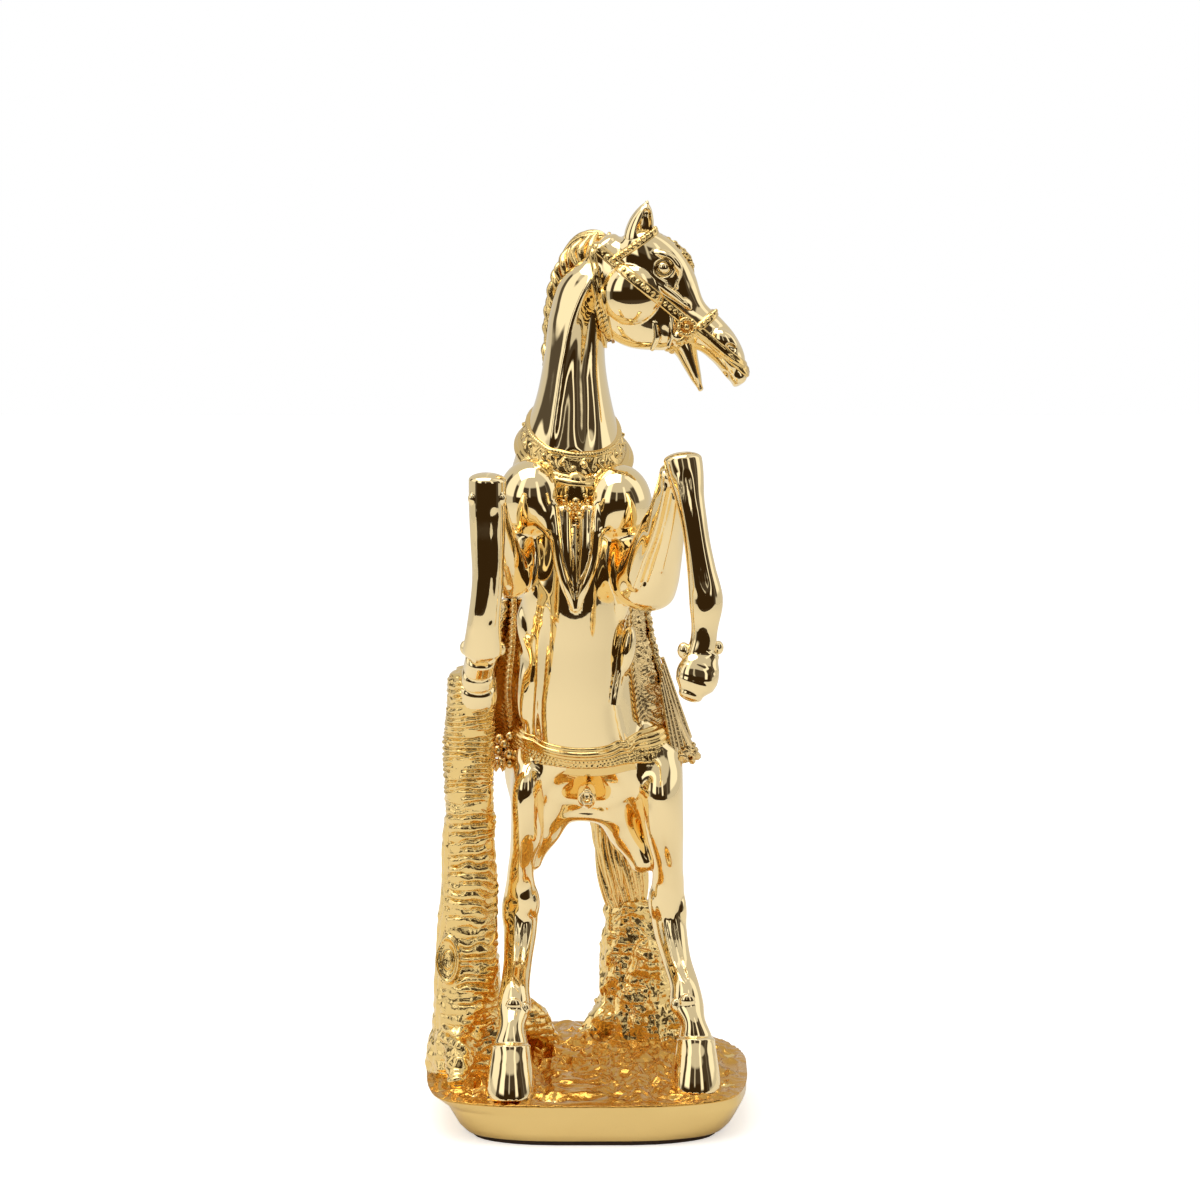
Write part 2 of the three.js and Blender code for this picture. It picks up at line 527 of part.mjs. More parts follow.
const maneShape = kept((grow) =>
  loft(
    [
      station(9, 2, POLL_HEIGHT + 3, 4, 4.5),
      station(0, 8, POLL_HEIGHT - 1, 6, 6.5),
      station(-7, 13, POLL_HEIGHT - 15, 6.5, 7),
      station(-9, 17, THROAT_HEIGHT + 12, 6.5, 7),
      station(-9, 20, THROAT_HEIGHT - 8, 6.5, 7),
      station(-8.5, 23, WITHERS_HEIGHT + 16, 6, 6.5),
      station(-7, 25, WITHERS_HEIGHT + 2, 4, 4.5),
    ],
    { sides: 8, grow, domes: [0.6, 1], relief: strands(4, 0.22, 9) },
  ),
);
const forelockShape = kept((grow) =>
  loft(
    [
      station(...onHead(HEAD_LENGTH * 0.1, 17), 4.5, 4),
      station(...onHead(HEAD_LENGTH * 0.2, 23), 6, 3.6),
      station(...onHead(HEAD_LENGTH * 0.29, 25), 5.5, 3),
      station(...onHead(HEAD_LENGTH * 0.38, 24), 2, 1.8),
    ],
    { sides: 8, across: acrossY, grow, relief: strands(4, 0.25, 4) },
  ),
);

const DOCK = vector(4, 33, STIFLE_HEIGHT + 14);
const tailShape = kept((grow) =>
  loft(
    [
      station(DOCK.x, DOCK.y, DOCK.z + 4, TAIL_HALF_WIDTH - 2, 5),
      station(DOCK.x + 2, DOCK.y + 10, DOCK.z - 3, TAIL_HALF_WIDTH - 1, 6),
      station(DOCK.x + 6, DOCK.y + 14, DOCK.z - 19, TAIL_HALF_WIDTH, 6.5),
      station(DOCK.x + 9, DOCK.y + 13, DOCK.z - 38, TAIL_HALF_WIDTH + 1.5, 7),
      station(DOCK.x + 12, DOCK.y + 11, DOCK.z - 58, TAIL_HALF_WIDTH + 3, 7.5),
      station(DOCK.x + 14, DOCK.y + 10, STUMP_HEIGHT - 10, TAIL_HALF_WIDTH, 6),
    ],
    { sides: 12, grow, domes: [0.5, 1], relief: strands(6, 0.24, 7) },
  ),
);

// Trunk and stump: bark is a relief of ridges across the trunk, and roots flare out of its foot.

function bark(ridges, depth) {
  return (share, angle) =>
    depth * Math.sin(ridges * share * 2 * Math.PI + 1.3 * Math.sin(3 * angle)) +
    depth * 0.8 * Math.sin(5 * angle + 9 * share);
}

function root(from, to, halfWidth, grow) {
  const middle = from.clone().lerp(to, 0.55).add(vector(0, 0, 5));
  return loft(
    [
      station(...from, halfWidth * 1.3, halfWidth * 1.3),
      station(...middle, halfWidth, halfWidth),
      station(...to, halfWidth * 0.55, halfWidth * 0.55),
    ],
    { sides: 8, across: acrossY, grow, domes: [0.5, 0.8] },
  );
}

const TRUNK_FOOT = vector(-51, -6, 0);
const trunkShape = kept((grow) => {
  const trunk = loft(
    [
      station(TRUNK_FOOT.x, TRUNK_FOOT.y, -GROUND_SINK, TRUNK_HALF_WIDTH + 9, 22),
      station(TRUNK_FOOT.x, TRUNK_FOOT.y - 1, 18, TRUNK_HALF_WIDTH + 6, 18),
      station(TRUNK_FOOT.x + 0.5, TRUNK_FOOT.y - 3, 46, TRUNK_HALF_WIDTH + 2.4, 14),
      station(TRUNK_FOOT.x + 1, TRUNK_FOOT.y - 6, 82, TRUNK_HALF_WIDTH + 0.8, 12),
      station(TRUNK_FOOT.x + 1.8, TRUNK_FOOT.y - 12, 113, TRUNK_HALF_WIDTH - 0.4, 11),
      station(TRUNK_FOOT.x + 2.2, TRUNK_FOOT.y - 20, 142, TRUNK_HALF_WIDTH - 0.4, 11),
      station(TRUNK_FOOT.x + 3.6, TRUNK_FOOT.y - 29, TRUNK_HEIGHT - 6, TRUNK_HALF_WIDTH - 1, 11.5),
    ],
    { sides: 10, steps: 3, grow, domes: [0, 0.6], relief: bark(8.5, 0.04) },
  );
  const knot = ball(TRUNK_FOOT.x - 7, TRUNK_FOOT.y - 13, 46, 6.5, 5, 9, grow, 10, 6);
  return joined(
    trunk,
    knot,
    root(TRUNK_FOOT.clone().add(vector(8, 8, 18)), vector(-14, 18, 0), 11, grow),
    root(TRUNK_FOOT.clone().add(vector(2, 8, 12)), vector(-36, 42, 0), 8, grow),
    root(TRUNK_FOOT.clone().add(vector(-2, -8, 8)), vector(-54, -36, -1), 8, grow),
  );
});

const STUMP_FOOT = vector(24, 40, 0);
const stumpShape = kept((grow) => {
  const stump = loft(
    [
      station(STUMP_FOOT.x, STUMP_FOOT.y, -GROUND_SINK, 22, 17),
      station(STUMP_FOOT.x, STUMP_FOOT.y, 14, 18.5, 14.5),
      station(STUMP_FOOT.x - 3, STUMP_FOOT.y + 2, 34, 15, 12),
      station(STUMP_FOOT.x - 5, STUMP_FOOT.y + 3, STUMP_HEIGHT - 6, 11, 9.5),
    ],
    { sides: 10, steps: 3, grow, domes: [0, 0.7], relief: bark(3, 0.07) },
  );
  const knot = ball(STUMP_FOOT.x + 3, STUMP_FOOT.y - 10, 36, 6.5, 5, 8.5, grow, 10, 6);
  return joined(stump, knot, root(STUMP_FOOT.clone().setZ(10), vector(0, 30, 0), 8, grow));
});

// Base: an oval block, flatter in front, whose wall draws in to the foot and whose top is rocky ground.

function ovalPoint(angle, inset, z, shift = 0) {
  const front = Math.sin(angle) < 0;
  const power = front ? FRONT_OVAL_POWER : REAR_OVAL_POWER;
  const round = (value) => Math.sign(value) * Math.abs(value) ** (2 / power);
  const wander = 1 + 0.008 * Math.sin(3 * angle + 0.8) + 0.006 * Math.sin(7 * angle);
  const depth = front
    ? PLINTH_FRONT_DEPTH * wander - inset * FRONT_INSET_SHARE
    : PLINTH_REAR_DEPTH * wander - inset;
  const x = (PLINTH_HALF_WIDTH * wander - inset) * round(Math.cos(angle)) + shift;
  return vector(x, depth * round(Math.sin(angle)), z);
}

// Ground: a low mound, rocks with creases between them, and a drop to the rim.
function groundHeight(x, y, fromRim) {
  const pace = Math.PI / ROCK_SPACING;
  const creaseAcross = Math.abs(Math.sin(pace * (x + 0.35 * y) + 0.9 * Math.sin(0.09 * y)));
  const creaseAlong = Math.abs(Math.sin(pace * (0.9 * y - 0.3 * x) + 0.8 * Math.sin(0.11 * x + 1)));
  const rocks = ROCK_HEIGHT * (Math.sqrt(creaseAcross * creaseAlong) - 0.55);
  const rise = GROUND_RISE * Math.exp(-((x + 4) ** 2 + (y - 24) ** 2) / 900);
  return (rise + rocks) * Math.min(1, fromRim * 5) - RIM_DROP * (1 - fromRim) ** 2;
}

const ovalAngles = (count) => Array.from({ length: count }, (_, n) => (n / count) * 2 * Math.PI);

const OVAL_SIDES = 46;

function plinthBlock() {
  const SIDES = OVAL_SIDES;
  const GROUND_RINGS = 8;
  const angles = ovalAngles(SIDES);
  const points = [
    ...angles.map((angle) => ovalPoint(angle, FOOT_INSET, -PLINTH_HEIGHT, FOOT_SHIFT)),
    ...angles.map((angle) => ovalPoint(angle, FOOT_INSET - 2, -PLINTH_HEIGHT + 2.5, FOOT_SHIFT)),
    ...angles.map((angle) => ovalPoint(angle, FOOT_INSET * 0.4, -PLINTH_HEIGHT * 0.45, FOOT_SHIFT)),
    ...angles.map((angle) => ovalPoint(angle, 0.8, -RIM_DROP - 1.6)),
  ];
  for (let r = 0; r < GROUND_RINGS; r++) {
    const fromRim = r / GROUND_RINGS;
    for (const angle of angles) {
      const p = ovalPoint(angle, 0, 0).multiplyScalar(1 - fromRim);
      points.push(p.setZ(groundHeight(p.x, p.y, fromRim)));
    }
  }
  const rings = 4 + GROUND_RINGS;
  points.push(vector(FOOT_SHIFT, 0, -PLINTH_HEIGHT), vector(0, 0, groundHeight(0, 0, 1)));
  const faces = [];
  for (let n = 0; n < SIDES; n++) {
    const next = (n + 1) % SIDES;
    for (let r = 0; r < rings - 1; r++) {
      const [a, b] = [r * SIDES + n, r * SIDES + next];
      faces.push(a, b, b + SIDES, a, b + SIDES, a + SIDES);
    }
    const last = (rings - 1) * SIDES;
    faces.push(rings * SIDES, next, n, rings * SIDES + 1, last + n, last + next);
  }
  return new THREE.BufferGeometry().setFromPoints(points).setIndex(faces);
}

function feltSheet() {
  const outline = new THREE.Shape(
    ovalAngles(OVAL_SIDES).map((angle) => {
      const { x, y } = ovalPoint(angle, FOOT_INSET + FELT_INSET, 0, FOOT_SHIFT);
      return new THREE.Vector2(x, y);
    }),
  );
  const sheet = new THREE.ExtrudeGeometry(outline, { depth: FELT_THICKNESS, bevelEnabled: false });
  return sheet.translate(0, 0, -PLINTH_HEIGHT - GLUE_GAP - FELT_THICKNESS);
}

// Cloths: a fleece pad and a pleated cloth over it, hung on the back and both flanks

// The barrel's section at a height.
function barrelAt(z) {
  let [low, high] = [0, 1];
  for (let k = 0; k < 20; k++) {
    const middle = (low + high) / 2;
    [low, high] = between(spine, middle)[2] < z ? [middle, high] : [low, middle];
  }
  const [x, y, , halfWidth, halfDepth] = between(spine, low);
  return { x, y, halfWidth, halfDepth };
}

// A sheet wrapped round the barrel from flank to flank across the back. The lift is how far its outer face
// stands off the barrel, by the share down the sheet and the angle from the middle of the back.
function wrappedSheet({ top, bottom, reach, thickness, lift, across = 40, down = 10 }) {
  const points = [];
  const faceAt = (u, v, inner) => {
    const share = v / down;
    const angle = (u / across) * 2 * reach(share) - reach(share);
    const z = top + (bottom - top) * share;
    const s = barrelAt(z);
    const off = lift(share, angle) - (inner ? thickness : 0);
    const [a, b] = [s.halfWidth + off, s.halfDepth + off];
    return vector(s.x + a * Math.sin(angle), s.y + b * Math.cos(angle), z);
  };
  for (const inner of [false, true]) {
    for (let v = 0; v <= down; v++) {
      for (let u = 0; u <= across; u++) {
        points.push(faceAt(u, v, inner));
      }
    }
  }
  const row = across + 1;
  const back = row * (down + 1);
  const faces = [];
  for (let v = 0; v < down; v++) {
    for (let u = 0; u < across; u++) {
      const a = v * row + u;
      faces.push(a, a + 1, a + row + 1, a, a + row + 1, a + row);
      faces.push(back + a, back + a + row + 1, back + a + 1, back + a, back + a + row, back + a + row + 1);
    }
  }
  const wall = (a, b) => faces.push(a, back + b, b, a, back + a, back + b);
  for (let u = 0; u < across; u++) {
    wall(u, u + 1);
    wall(down * row + u + 1, down * row + u);
  }
  for (let v = 0; v < down; v++) {
    wall((v + 1) * row, v * row);
    wall(v * row + across, (v + 1) * row + across);
  }
  return new THREE.BufferGeometry().setFromPoints(points).setIndex(faces);
}

// How far the cloths swing out: nothing at the back, most at the flanks, more towards the lower edge.
const CLOTH_GAP = 0.7;
const flare = (share, angle, most) =>
  most * Math.sin(Math.min(Math.abs(angle), Math.PI / 2)) ** 4 * share ** 1.5;

const fleeceShape = kept((grow) =>
  wrappedSheet({
    top: CLOTH_TOP + grow,
    bottom: CLOTH_BOTTOM - grow,
    reach: (share) => 1.96 + 0.12 * share + grow / 30,
    thickness: FLEECE_THICKNESS + 2 * grow,
    lift: (share, angle) => FLEECE_THICKNESS + CLOTH_GAP + grow + flare(share, angle, FLEECE_FLARE),
    across: 20,
    down: 4,
  }),
);
const clothShape = kept((grow) =>
  wrappedSheet({
    top: CLOTH_TOP - 8 + grow,
    bottom: CLOTH_BOTTOM + 3 - grow,
    reach: (share) => 1.68 + 0.1 * share + grow / 30,
    thickness: CLOTH_THICKNESS + 2 * grow,
    lift: (share, angle) => {
      const pleat = 1.1 * flare(share, angle, 1) * (1 + Math.cos(CLOTH_PLEATS * 2 * angle));
      const rest = FLEECE_THICKNESS + CLOTH_THICKNESS + 2 * CLOTH_GAP + grow;
      return rest + flare(0.1 + 0.9 * share, angle, CLOTH_FLARE) + pleat;
    },
    across: 38,
    down: 4,
  }),
);

// Tack

const headAndNeck = kept((grow) => joined(headShape(grow), spineShape(grow)));

// The half of space above a height, and the half ahead of a point along a direction.
const HALF_SPACE = 200;
const beyond = (point, direction) =>
  layer(point.clone().addScaledVector(direction.clone().normalize(), HALF_SPACE), direction, HALF_SPACE);

// A strap with a rolled rim along one edge, and the room that it takes.
function rimmedStrap(body, point, normal, halfWidth, rimSide) {
  const rim = point.clone().addScaledVector(normal.clone().normalize(), rimSide * halfWidth);
  return {
    shape: joined(
      strap(body, point, normal, halfWidth),
      strap(body, rim, normal, ROLLED_RIM * 0.8, STRAP_THICKNESS + ROLLED_RIM),
    ),
    space: strap(
      body,
      point,
      normal,
      halfWidth + ROLLED_RIM + GLUE_GAP,
      STRAP_THICKNESS + ROLLED_RIM + 2 * GLUE_GAP,
    ),
  };
}

const collarAt = vector(BODY_MIDDLE, 0, WITHERS_HEIGHT + 0.5);
const collarNormal = vector(0.1, -0.34, 1);
const collar = rimmedStrap(spineShape, collarAt, collarNormal, COLLAR_HALF_WIDTH, -1);
const seamAt = collarAt.clone().add(vector(0, 0, COLLAR_HALF_WIDTH * 0.6));
const aboveSeam = beyond(seamAt, collarNormal);
const belowSeam = beyond(seamAt.clone().add(vector(0, 0, GLUE_GAP)), collarNormal.clone().negate());
const girth = rimmedStrap(
  spineShape,
  vector(0, 0, PELVIS_FLOOR_HEIGHT + 42),
  vector(0, -0.36, 1),
  GIRTH_HALF_WIDTH,
  1,
);

const PENDANT_ROWS = [3, 3, 3, 2, 1];
const PENDANT_TOP = WITHERS_HEIGHT - 10;
const chestFront = (z) => barrelAt(z).halfDepth - barrelAt(z).y;
const pendantShape = joined(
  ...PENDANT_ROWS.flatMap((count, row) =>
    Array.from({ length: count }, (_, n) =>
      ball(
        BODY_MIDDLE - 0.5 + (n - (count - 1) / 2) * BEAD_RADIUS * 1.5,
        -chestFront(PENDANT_TOP - row * BEAD_RADIUS * 1.6) - 0.5,
        PENDANT_TOP - row * BEAD_RADIUS * 1.6,
        BEAD_RADIUS, BEAD_RADIUS * 1.4, BEAD_RADIUS, 0, 6, 4,
      ),
    ),
  ),
);

const nosebandAt = onHead(HEAD_LENGTH * 0.635, 5);
const noseband = strap(headShape, nosebandAt, headAlong, BRIDLE_HALF_WIDTH);
const pastNoseband = beyond(
  nosebandAt.clone().addScaledVector(headAlong, -BRIDLE_HALF_WIDTH - GLUE_GAP),
  headAlong,
);

const CHEEK_PITCH = THREE.MathUtils.degToRad(39);
const cheekNormal = vector(Math.sin(CHEEK_PITCH), 0, Math.cos(CHEEK_PITCH));
const cheekAt = onHead(HEAD_LENGTH * 0.3, 5);
const headstall = cut(strap(headShape, cheekAt, cheekNormal, CHEEK_STRAP_HALF_WIDTH), pastNoseband);
const headstallEdge = CHEEK_STRAP_HALF_WIDTH + GLUE_GAP;
const belowHeadstall = beyond(
  cheekAt.clone().addScaledVector(cheekNormal, headstallEdge),
  cheekNormal.clone().negate(),
);
const aboveHeadstall = beyond(cheekAt.clone().addScaledVector(cheekNormal, -headstallEdge), cheekNormal);

const browAt = onHead(HEAD_LENGTH * 0.17, 14);
const browNormal = vector(-0.61, 0, 0.79);
const browband = cut(
  strap(headShape, browAt, browNormal, BRIDLE_HALF_WIDTH),
  belowHeadstall,
);
const throatAt = vector(9.5, 0, THROAT_HEIGHT + 3);
const throatNormal = vector(0.98, 0, 0.19);
const throatlatch = cut(
  strap(headAndNeck, throatAt, throatNormal, BRIDLE_HALF_WIDTH),
  aboveHeadstall,
  beyond(vector(0, 0, THROAT_HEIGHT - 5), vector(0, 0, -1)),
);
const crownSpace = strap(headShape, cheekAt, cheekNormal, headstallEdge, STRAP_THICKNESS + GLUE_GAP);
const throatSpace = strap(
  headAndNeck,
  throatAt,
  throatNormal,
  BRIDLE_HALF_WIDTH + GLUE_GAP,
  STRAP_THICKNESS + GLUE_GAP,
);
const browSpace = strap(
  headShape,
  browAt,
  browNormal,
  BRIDLE_HALF_WIDTH + GLUE_GAP,
  STRAP_THICKNESS + GLUE_GAP,
);

const RING_RADIUS = 3.2;
const RING_WIRE = 1.1;
function bitRing(side) {
  const at = onHead(HEAD_LENGTH * 0.585, 7, 0.7 + side * 13.5);
  const ring = new THREE.TorusGeometry(RING_RADIUS, RING_WIRE, 6, 14);
  return ring.rotateX(Math.PI / 2).translate(...at);
}

// Assembly

const statue = new THREE.Group();
statue.position.z = PLINTH_HEIGHT + GLUE_GAP + FELT_THICKNESS;

function addPiece(name, body, material) {
  const mesh = largest(asSolid(body)).getMesh();
  const geometry = new THREE.BufferGeometry()
    .setAttribute("position", new THREE.BufferAttribute(Float32Array.from(mesh.vertProperties), 3))
    .setIndex(new THREE.BufferAttribute(Uint32Array.from(mesh.triVerts), 1));
  const piece = new THREE.Mesh(geometry, material);
  piece.name = name;
  statue.add(piece);
}

const neckDowel = dowelAt(seamAt, vector(0, 0, 1), DOWEL_RADIUS + 1);
const headDowel = dowelAt(vector(0.5, -1, POLL_HEIGHT - 16), vector(1, -0.1, 0.1), DOWEL_RADIUS, 7);
const ARM_GRIP = 6;
const rightArmDowel = dowelAt(vector(-12, -6, CHEST_HEIGHT + 5), vector(-1, 0, 0), DOWEL_RADIUS, ARM_GRIP);
const leftArmDowel = dowelAt(vector(2, -8, CHEST_HEIGHT + 4), vector(1, 0, 0), DOWEL_RADIUS, ARM_GRIP);
const tailRoot = vector(DOCK.x, DOCK.y - 3, DOCK.z + 5.5);
const tailDowel = dowelAt(tailRoot, vector(0.2, 1, -0.7), DOWEL_RADIUS - 0.7, 7);
const trunkDowel = dowelAt(TRUNK_FOOT.clone().setZ(-GROUND_SINK), vector(0, 0, 1), DOWEL_RADIUS + 1);
const stumpDowel = dowelAt(STUMP_FOOT.clone().setZ(-GROUND_SINK), vector(0, 0, 1), DOWEL_RADIUS + 1);

const legSockets = [
  rightHind.shape(GLUE_GAP),
  leftHind.shape(GLUE_GAP),
  rightHind.rodHole,
  leftHind.rodHole,
];

addPiece("felt_pad", feltSheet(), felt);
addPiece(
  "plinth",
  cut(
    plinthBlock(),
    ...legSockets,
    trunkShape(GLUE_GAP),
    stumpShape(GLUE_GAP),
    trunkDowel.hole,
    stumpDowel.hole,
  ),
  roughGold,
);
addPiece(
  "tree_trunk",
  cut(trunkShape(), rightFore(GLUE_GAP), rightHind.shape(GLUE_GAP), torsoShape(GLUE_GAP), trunkDowel.hole),
  roughGold,
);
addPiece(
  "rear_stump",
  cut(stumpShape(), tailShape(GLUE_GAP), leftHind.shape(GLUE_GAP), stumpDowel.hole),
  roughGold,
);
addPiece("right_hind_leg", cut(rightHind.shape(), rightHind.rodHole), mirrorGold);
addPiece("left_hind_leg", cut(leftHind.shape(), leftHind.rodHole), mirrorGold);
addPiece("right_foreleg", cut(rightFore(), rightArmDowel.hole), mirrorGold);
addPiece("left_foreleg", cut(leftFore(), leftArmDowel.hole), mirrorGold);
addPiece(
  "torso",
  cut(
    torsoShape(),
    aboveSeam, ...legSockets,
    rightFore(GLUE_GAP), leftFore(GLUE_GAP), rightArmDowel.hole, leftArmDowel.hole,
    neckDowel.hole, tailShape(GLUE_GAP), tailDowel.hole,
  ),
  mirrorGold,
);
addPiece(
  "neck",
  cut(spineShape(), belowSeam, headShape(GLUE_GAP), neckDowel.hole, headDowel.hole),
  mirrorGold,
);
addPiece("head", cut(headShape(), jawShape(GLUE_GAP), headDowel.hole, ...nostrils), mirrorGold);
addPiece("lower_jaw", jawShape(), mirrorGold);
addPiece("right_ear", cut(rightEar(), headAndNeck(GLUE_GAP), crownSpace, browSpace), mirrorGold);
addPiece("left_ear", cut(leftEar(), headAndNeck(GLUE_GAP), crownSpace, browSpace), mirrorGold);
addPiece(
  "forelock",
  cut(forelockShape(), headAndNeck(GLUE_GAP), crownSpace, browSpace, rightEar(GLUE_GAP), leftEar(GLUE_GAP)),
  trimGold,
);
addPiece(
  "mane",
  cut(
    maneShape(),
    headAndNeck(GLUE_GAP), crownSpace, throatSpace, collar.space, rightEar(GLUE_GAP), leftEar(GLUE_GAP),
  ),
  trimGold,
);
addPiece("tail", cut(tailShape(), tailDowel.hole), trimGold);
addPiece("noseband", cut(noseband, jawShape(GLUE_GAP)), trimGold);
addPiece("headstall", cut(headstall, spineShape(GLUE_GAP)), trimGold);
addPiece("browband", browband, trimGold);
addPiece("throatlatch", throatlatch, trimGold);
for (const [name, side] of [["right_bit_ring", -1], ["left_bit_ring", 1]]) {
  addPiece(name, bitRing(side), trimGold);
}
addPiece(
  "breast_collar",
  cut(collar.shape, shoulderBalls(GLUE_GAP), rightFore(GLUE_GAP), leftFore(GLUE_GAP)),
  trimGold,
);
addPiece("chest_pendant", cut(pendantShape, torsoShape(GLUE_GAP), collar.space), trimGold);
addPiece(
  "belly_girth",
  cut(
    girth.shape,
    beyond(vector(0, -BODY_HALF_DEPTH * 0.3, 0), vector(0, 1, 0)),
    fleeceShape(GLUE_GAP), torsoShape(GLUE_GAP), rightHind.shape(GLUE_GAP), leftHind.shape(GLUE_GAP),
  ),
  trimGold,
);
const underCloth = [
  torsoShape(GLUE_GAP),
  rightHind.shape(GLUE_GAP),
  leftHind.shape(GLUE_GAP),
  tailShape(GLUE_GAP),
  tailDowel.hole,
];
addPiece("fleece_pad", cut(fleeceShape(), ...underCloth), clothGold);
addPiece("saddle_cloth", cut(clothShape(), ...underCloth), clothGold);
addPiece("right_leg_rod", rightHind.rod, steel);
addPiece("left_leg_rod", leftHind.rod, steel);
addPiece("neck_dowel", neckDowel.pin, wood);
addPiece("head_dowel", headDowel.pin, wood);
addPiece("right_foreleg_dowel", rightArmDowel.pin, wood);
addPiece("left_foreleg_dowel", leftArmDowel.pin, wood);
addPiece("tail_dowel", tailDowel.pin, wood);
addPiece("trunk_dowel", trunkDowel.pin, wood);
addPiece("stump_dowel", stumpDowel.pin, wood);

export default statue;
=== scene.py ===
"""Looks for a gold plated statue of a rearing horse beside a tree trunk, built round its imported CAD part."""

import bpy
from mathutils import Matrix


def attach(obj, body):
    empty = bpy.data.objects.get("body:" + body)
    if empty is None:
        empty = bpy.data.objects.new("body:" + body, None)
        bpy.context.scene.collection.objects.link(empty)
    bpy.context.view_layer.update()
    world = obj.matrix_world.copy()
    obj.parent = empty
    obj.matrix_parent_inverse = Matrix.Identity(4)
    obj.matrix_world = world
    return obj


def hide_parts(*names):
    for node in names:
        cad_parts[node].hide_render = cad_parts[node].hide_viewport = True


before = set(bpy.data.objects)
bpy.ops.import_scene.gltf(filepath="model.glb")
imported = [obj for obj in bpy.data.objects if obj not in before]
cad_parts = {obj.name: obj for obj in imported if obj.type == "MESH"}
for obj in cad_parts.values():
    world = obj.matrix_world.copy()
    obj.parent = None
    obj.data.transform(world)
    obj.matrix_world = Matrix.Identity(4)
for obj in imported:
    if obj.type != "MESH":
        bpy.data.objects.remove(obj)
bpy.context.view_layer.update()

import concurrent.futures
import math

import bmesh
import bpy
import numpy as np

bl_info = {
    "name": "Rearing Horse Statue",
    "version": (1, 0, 0),
    "blender": (4, 5, 0),
    "location": "View3D > Sidebar > Statue",
    "description": "Builds the plated surfaces, tack, bark and ground of a rearing horse statue",
    "category": "Add Mesh",
}

# All builders work in millimetres, with heights counted from the ground under the hooves.
MM = 0.001
GROUND = 22.0


# Numbers and noise

def wave_noise(points, size, seed):
    """Value noise from -1 to 1: random values on a lattice of the given size, blended with smooth weights."""
    table = np.random.default_rng(seed).uniform(-1, 1, 4096)
    place = points / size
    cell = np.floor(place).astype(np.int64)
    part = place - cell
    part = part * part * (3 - 2 * part)
    total = np.zeros(points.shape[:-1])
    for corner in range(8):
        step = np.array([corner & 1, (corner >> 1) & 1, corner >> 2])
        key = ((cell + step) * np.array([73856093, 19349663, 83492791])).sum(-1)
        weight = np.where(step == 1, part, 1 - part).prod(-1)
        total += weight * table[(key ^ (key >> 13)) & 4095]
    return total


def layered_noise(points, size, seed):
    """Noise summed over three layers, each half as coarse and about half as strong as the one before."""
    return sum(wave_noise(points, size / 2**k, seed + k) * 0.55**k for k in range(3))


def smooth_step(value, low, high):
    """0 at low, 1 at high and s^2 (3 - 2 s) between them. It falls with the value where low is above high."""
    share = np.clip((value - low) / (high - low), 0, 1)
    return share * share * (3 - 2 * share)


def unit(vector):
    """Vectors scaled to a length of 1."""
    vector = np.asarray(vector, float)
    return vector / np.maximum(np.linalg.norm(vector, axis=-1, keepdims=True), 1e-12)


# Distance fields: each is a function of points that is below zero inside the form, in millimetres

TABLE_ROWS = 600


def spread(places, values, level_ends=False):
    """Table of a smooth curve through values at places from 0 to 1, by cubic Hermite pieces with mean slopes."""
    slopes = np.gradient(values, places, axis=0)
    if level_ends:
        slopes[0] = slopes[-1] = 0
    at = np.linspace(0, 1, TABLE_ROWS)
    i = np.clip(np.searchsorted(places, at, side="right") - 1, 0, len(places) - 2)
    width = places[i + 1] - places[i]
    t = (at - places[i]) / width
    h00, h10 = 2 * t**3 - 3 * t**2 + 1, t**3 - 2 * t**2 + t
    h01, h11 = -2 * t**3 + 3 * t**2, t**3 - t**2
    return h00 * values[i] + h10 * width * slopes[i] + h01 * values[i + 1] + h11 * width * slopes[i + 1]


def ellipse_distance(offsets, radii):
    """Near distance to an ellipsoid: (k - 1) k / g, with k the scaled length and g its gradient's length."""
    scaled = sum((o / r) ** 2 for o, r in zip(offsets, radii))
    k = np.sqrt(scaled)
    g = np.sqrt(sum((o / r**2) ** 2 for o, r in zip(offsets, radii)))
    least = radii[0]
    for r in radii[1:]:
        least = np.minimum(least, r)
    return np.where(g > 1e-6, k * (k - 1) / np.maximum(g, 1e-6), -least)


def limb(stations, across=(1, 0, 0), domes=(0.6, 0.6), square=False, relief=None):
    """Form through oval sections x, y, z, half width, half depth, each square to the chord from first to last.
    Past an end the section closes with half an ellipsoid, as long as the dome's share of the section's radius.
    A square section is the power oval |u|^2.5 + |v|^2.5 = 1. The relief is a height by the share along the limb,
    the distance across it from its middle line, and the share of the half depth."""
    rows = np.array(stations, float)
    start, chord = rows[0, :3], rows[-1, :3] - rows[0, :3]
    length = np.linalg.norm(chord)
    along = chord / length
    width = unit(np.array(across, float) - along * np.dot(across, along))
    depth = np.cross(along, width)
    offset = rows[:, :3] - start
    places = offset @ along / length
    tables = [spread(places, offset @ width), spread(places, offset @ depth)]
    tables += [spread(places, rows[:, 3], True), spread(places, rows[:, 4], True)]
    shares = np.linspace(0, 1, TABLE_ROWS)

    def distance(points):
        rel = points - start
        place = rel @ along / length
        held = np.clip(place, 0, 1)
        a, b, w, d = (np.interp(held, shares, table) for table in tables)
        u, v = rel @ width - a, rel @ depth - b
        past = (place - held) * length
        reach = np.minimum(w, d) * np.where(place < 0.5, domes[0], domes[1])
        high = relief(held, u, v / d) if relief else 0.0
        if square:
            power_oval = (np.abs(u / w) ** 2.5 + np.abs(v / d) ** 2.5) ** 0.4
            scale = power_oval / np.sqrt((u / w) ** 2 + (v / d) ** 2 + 1e-12)
            u, v = u * scale, v * scale
        return ellipse_distance((u, v, past), (w, d, reach)) - high

    return distance


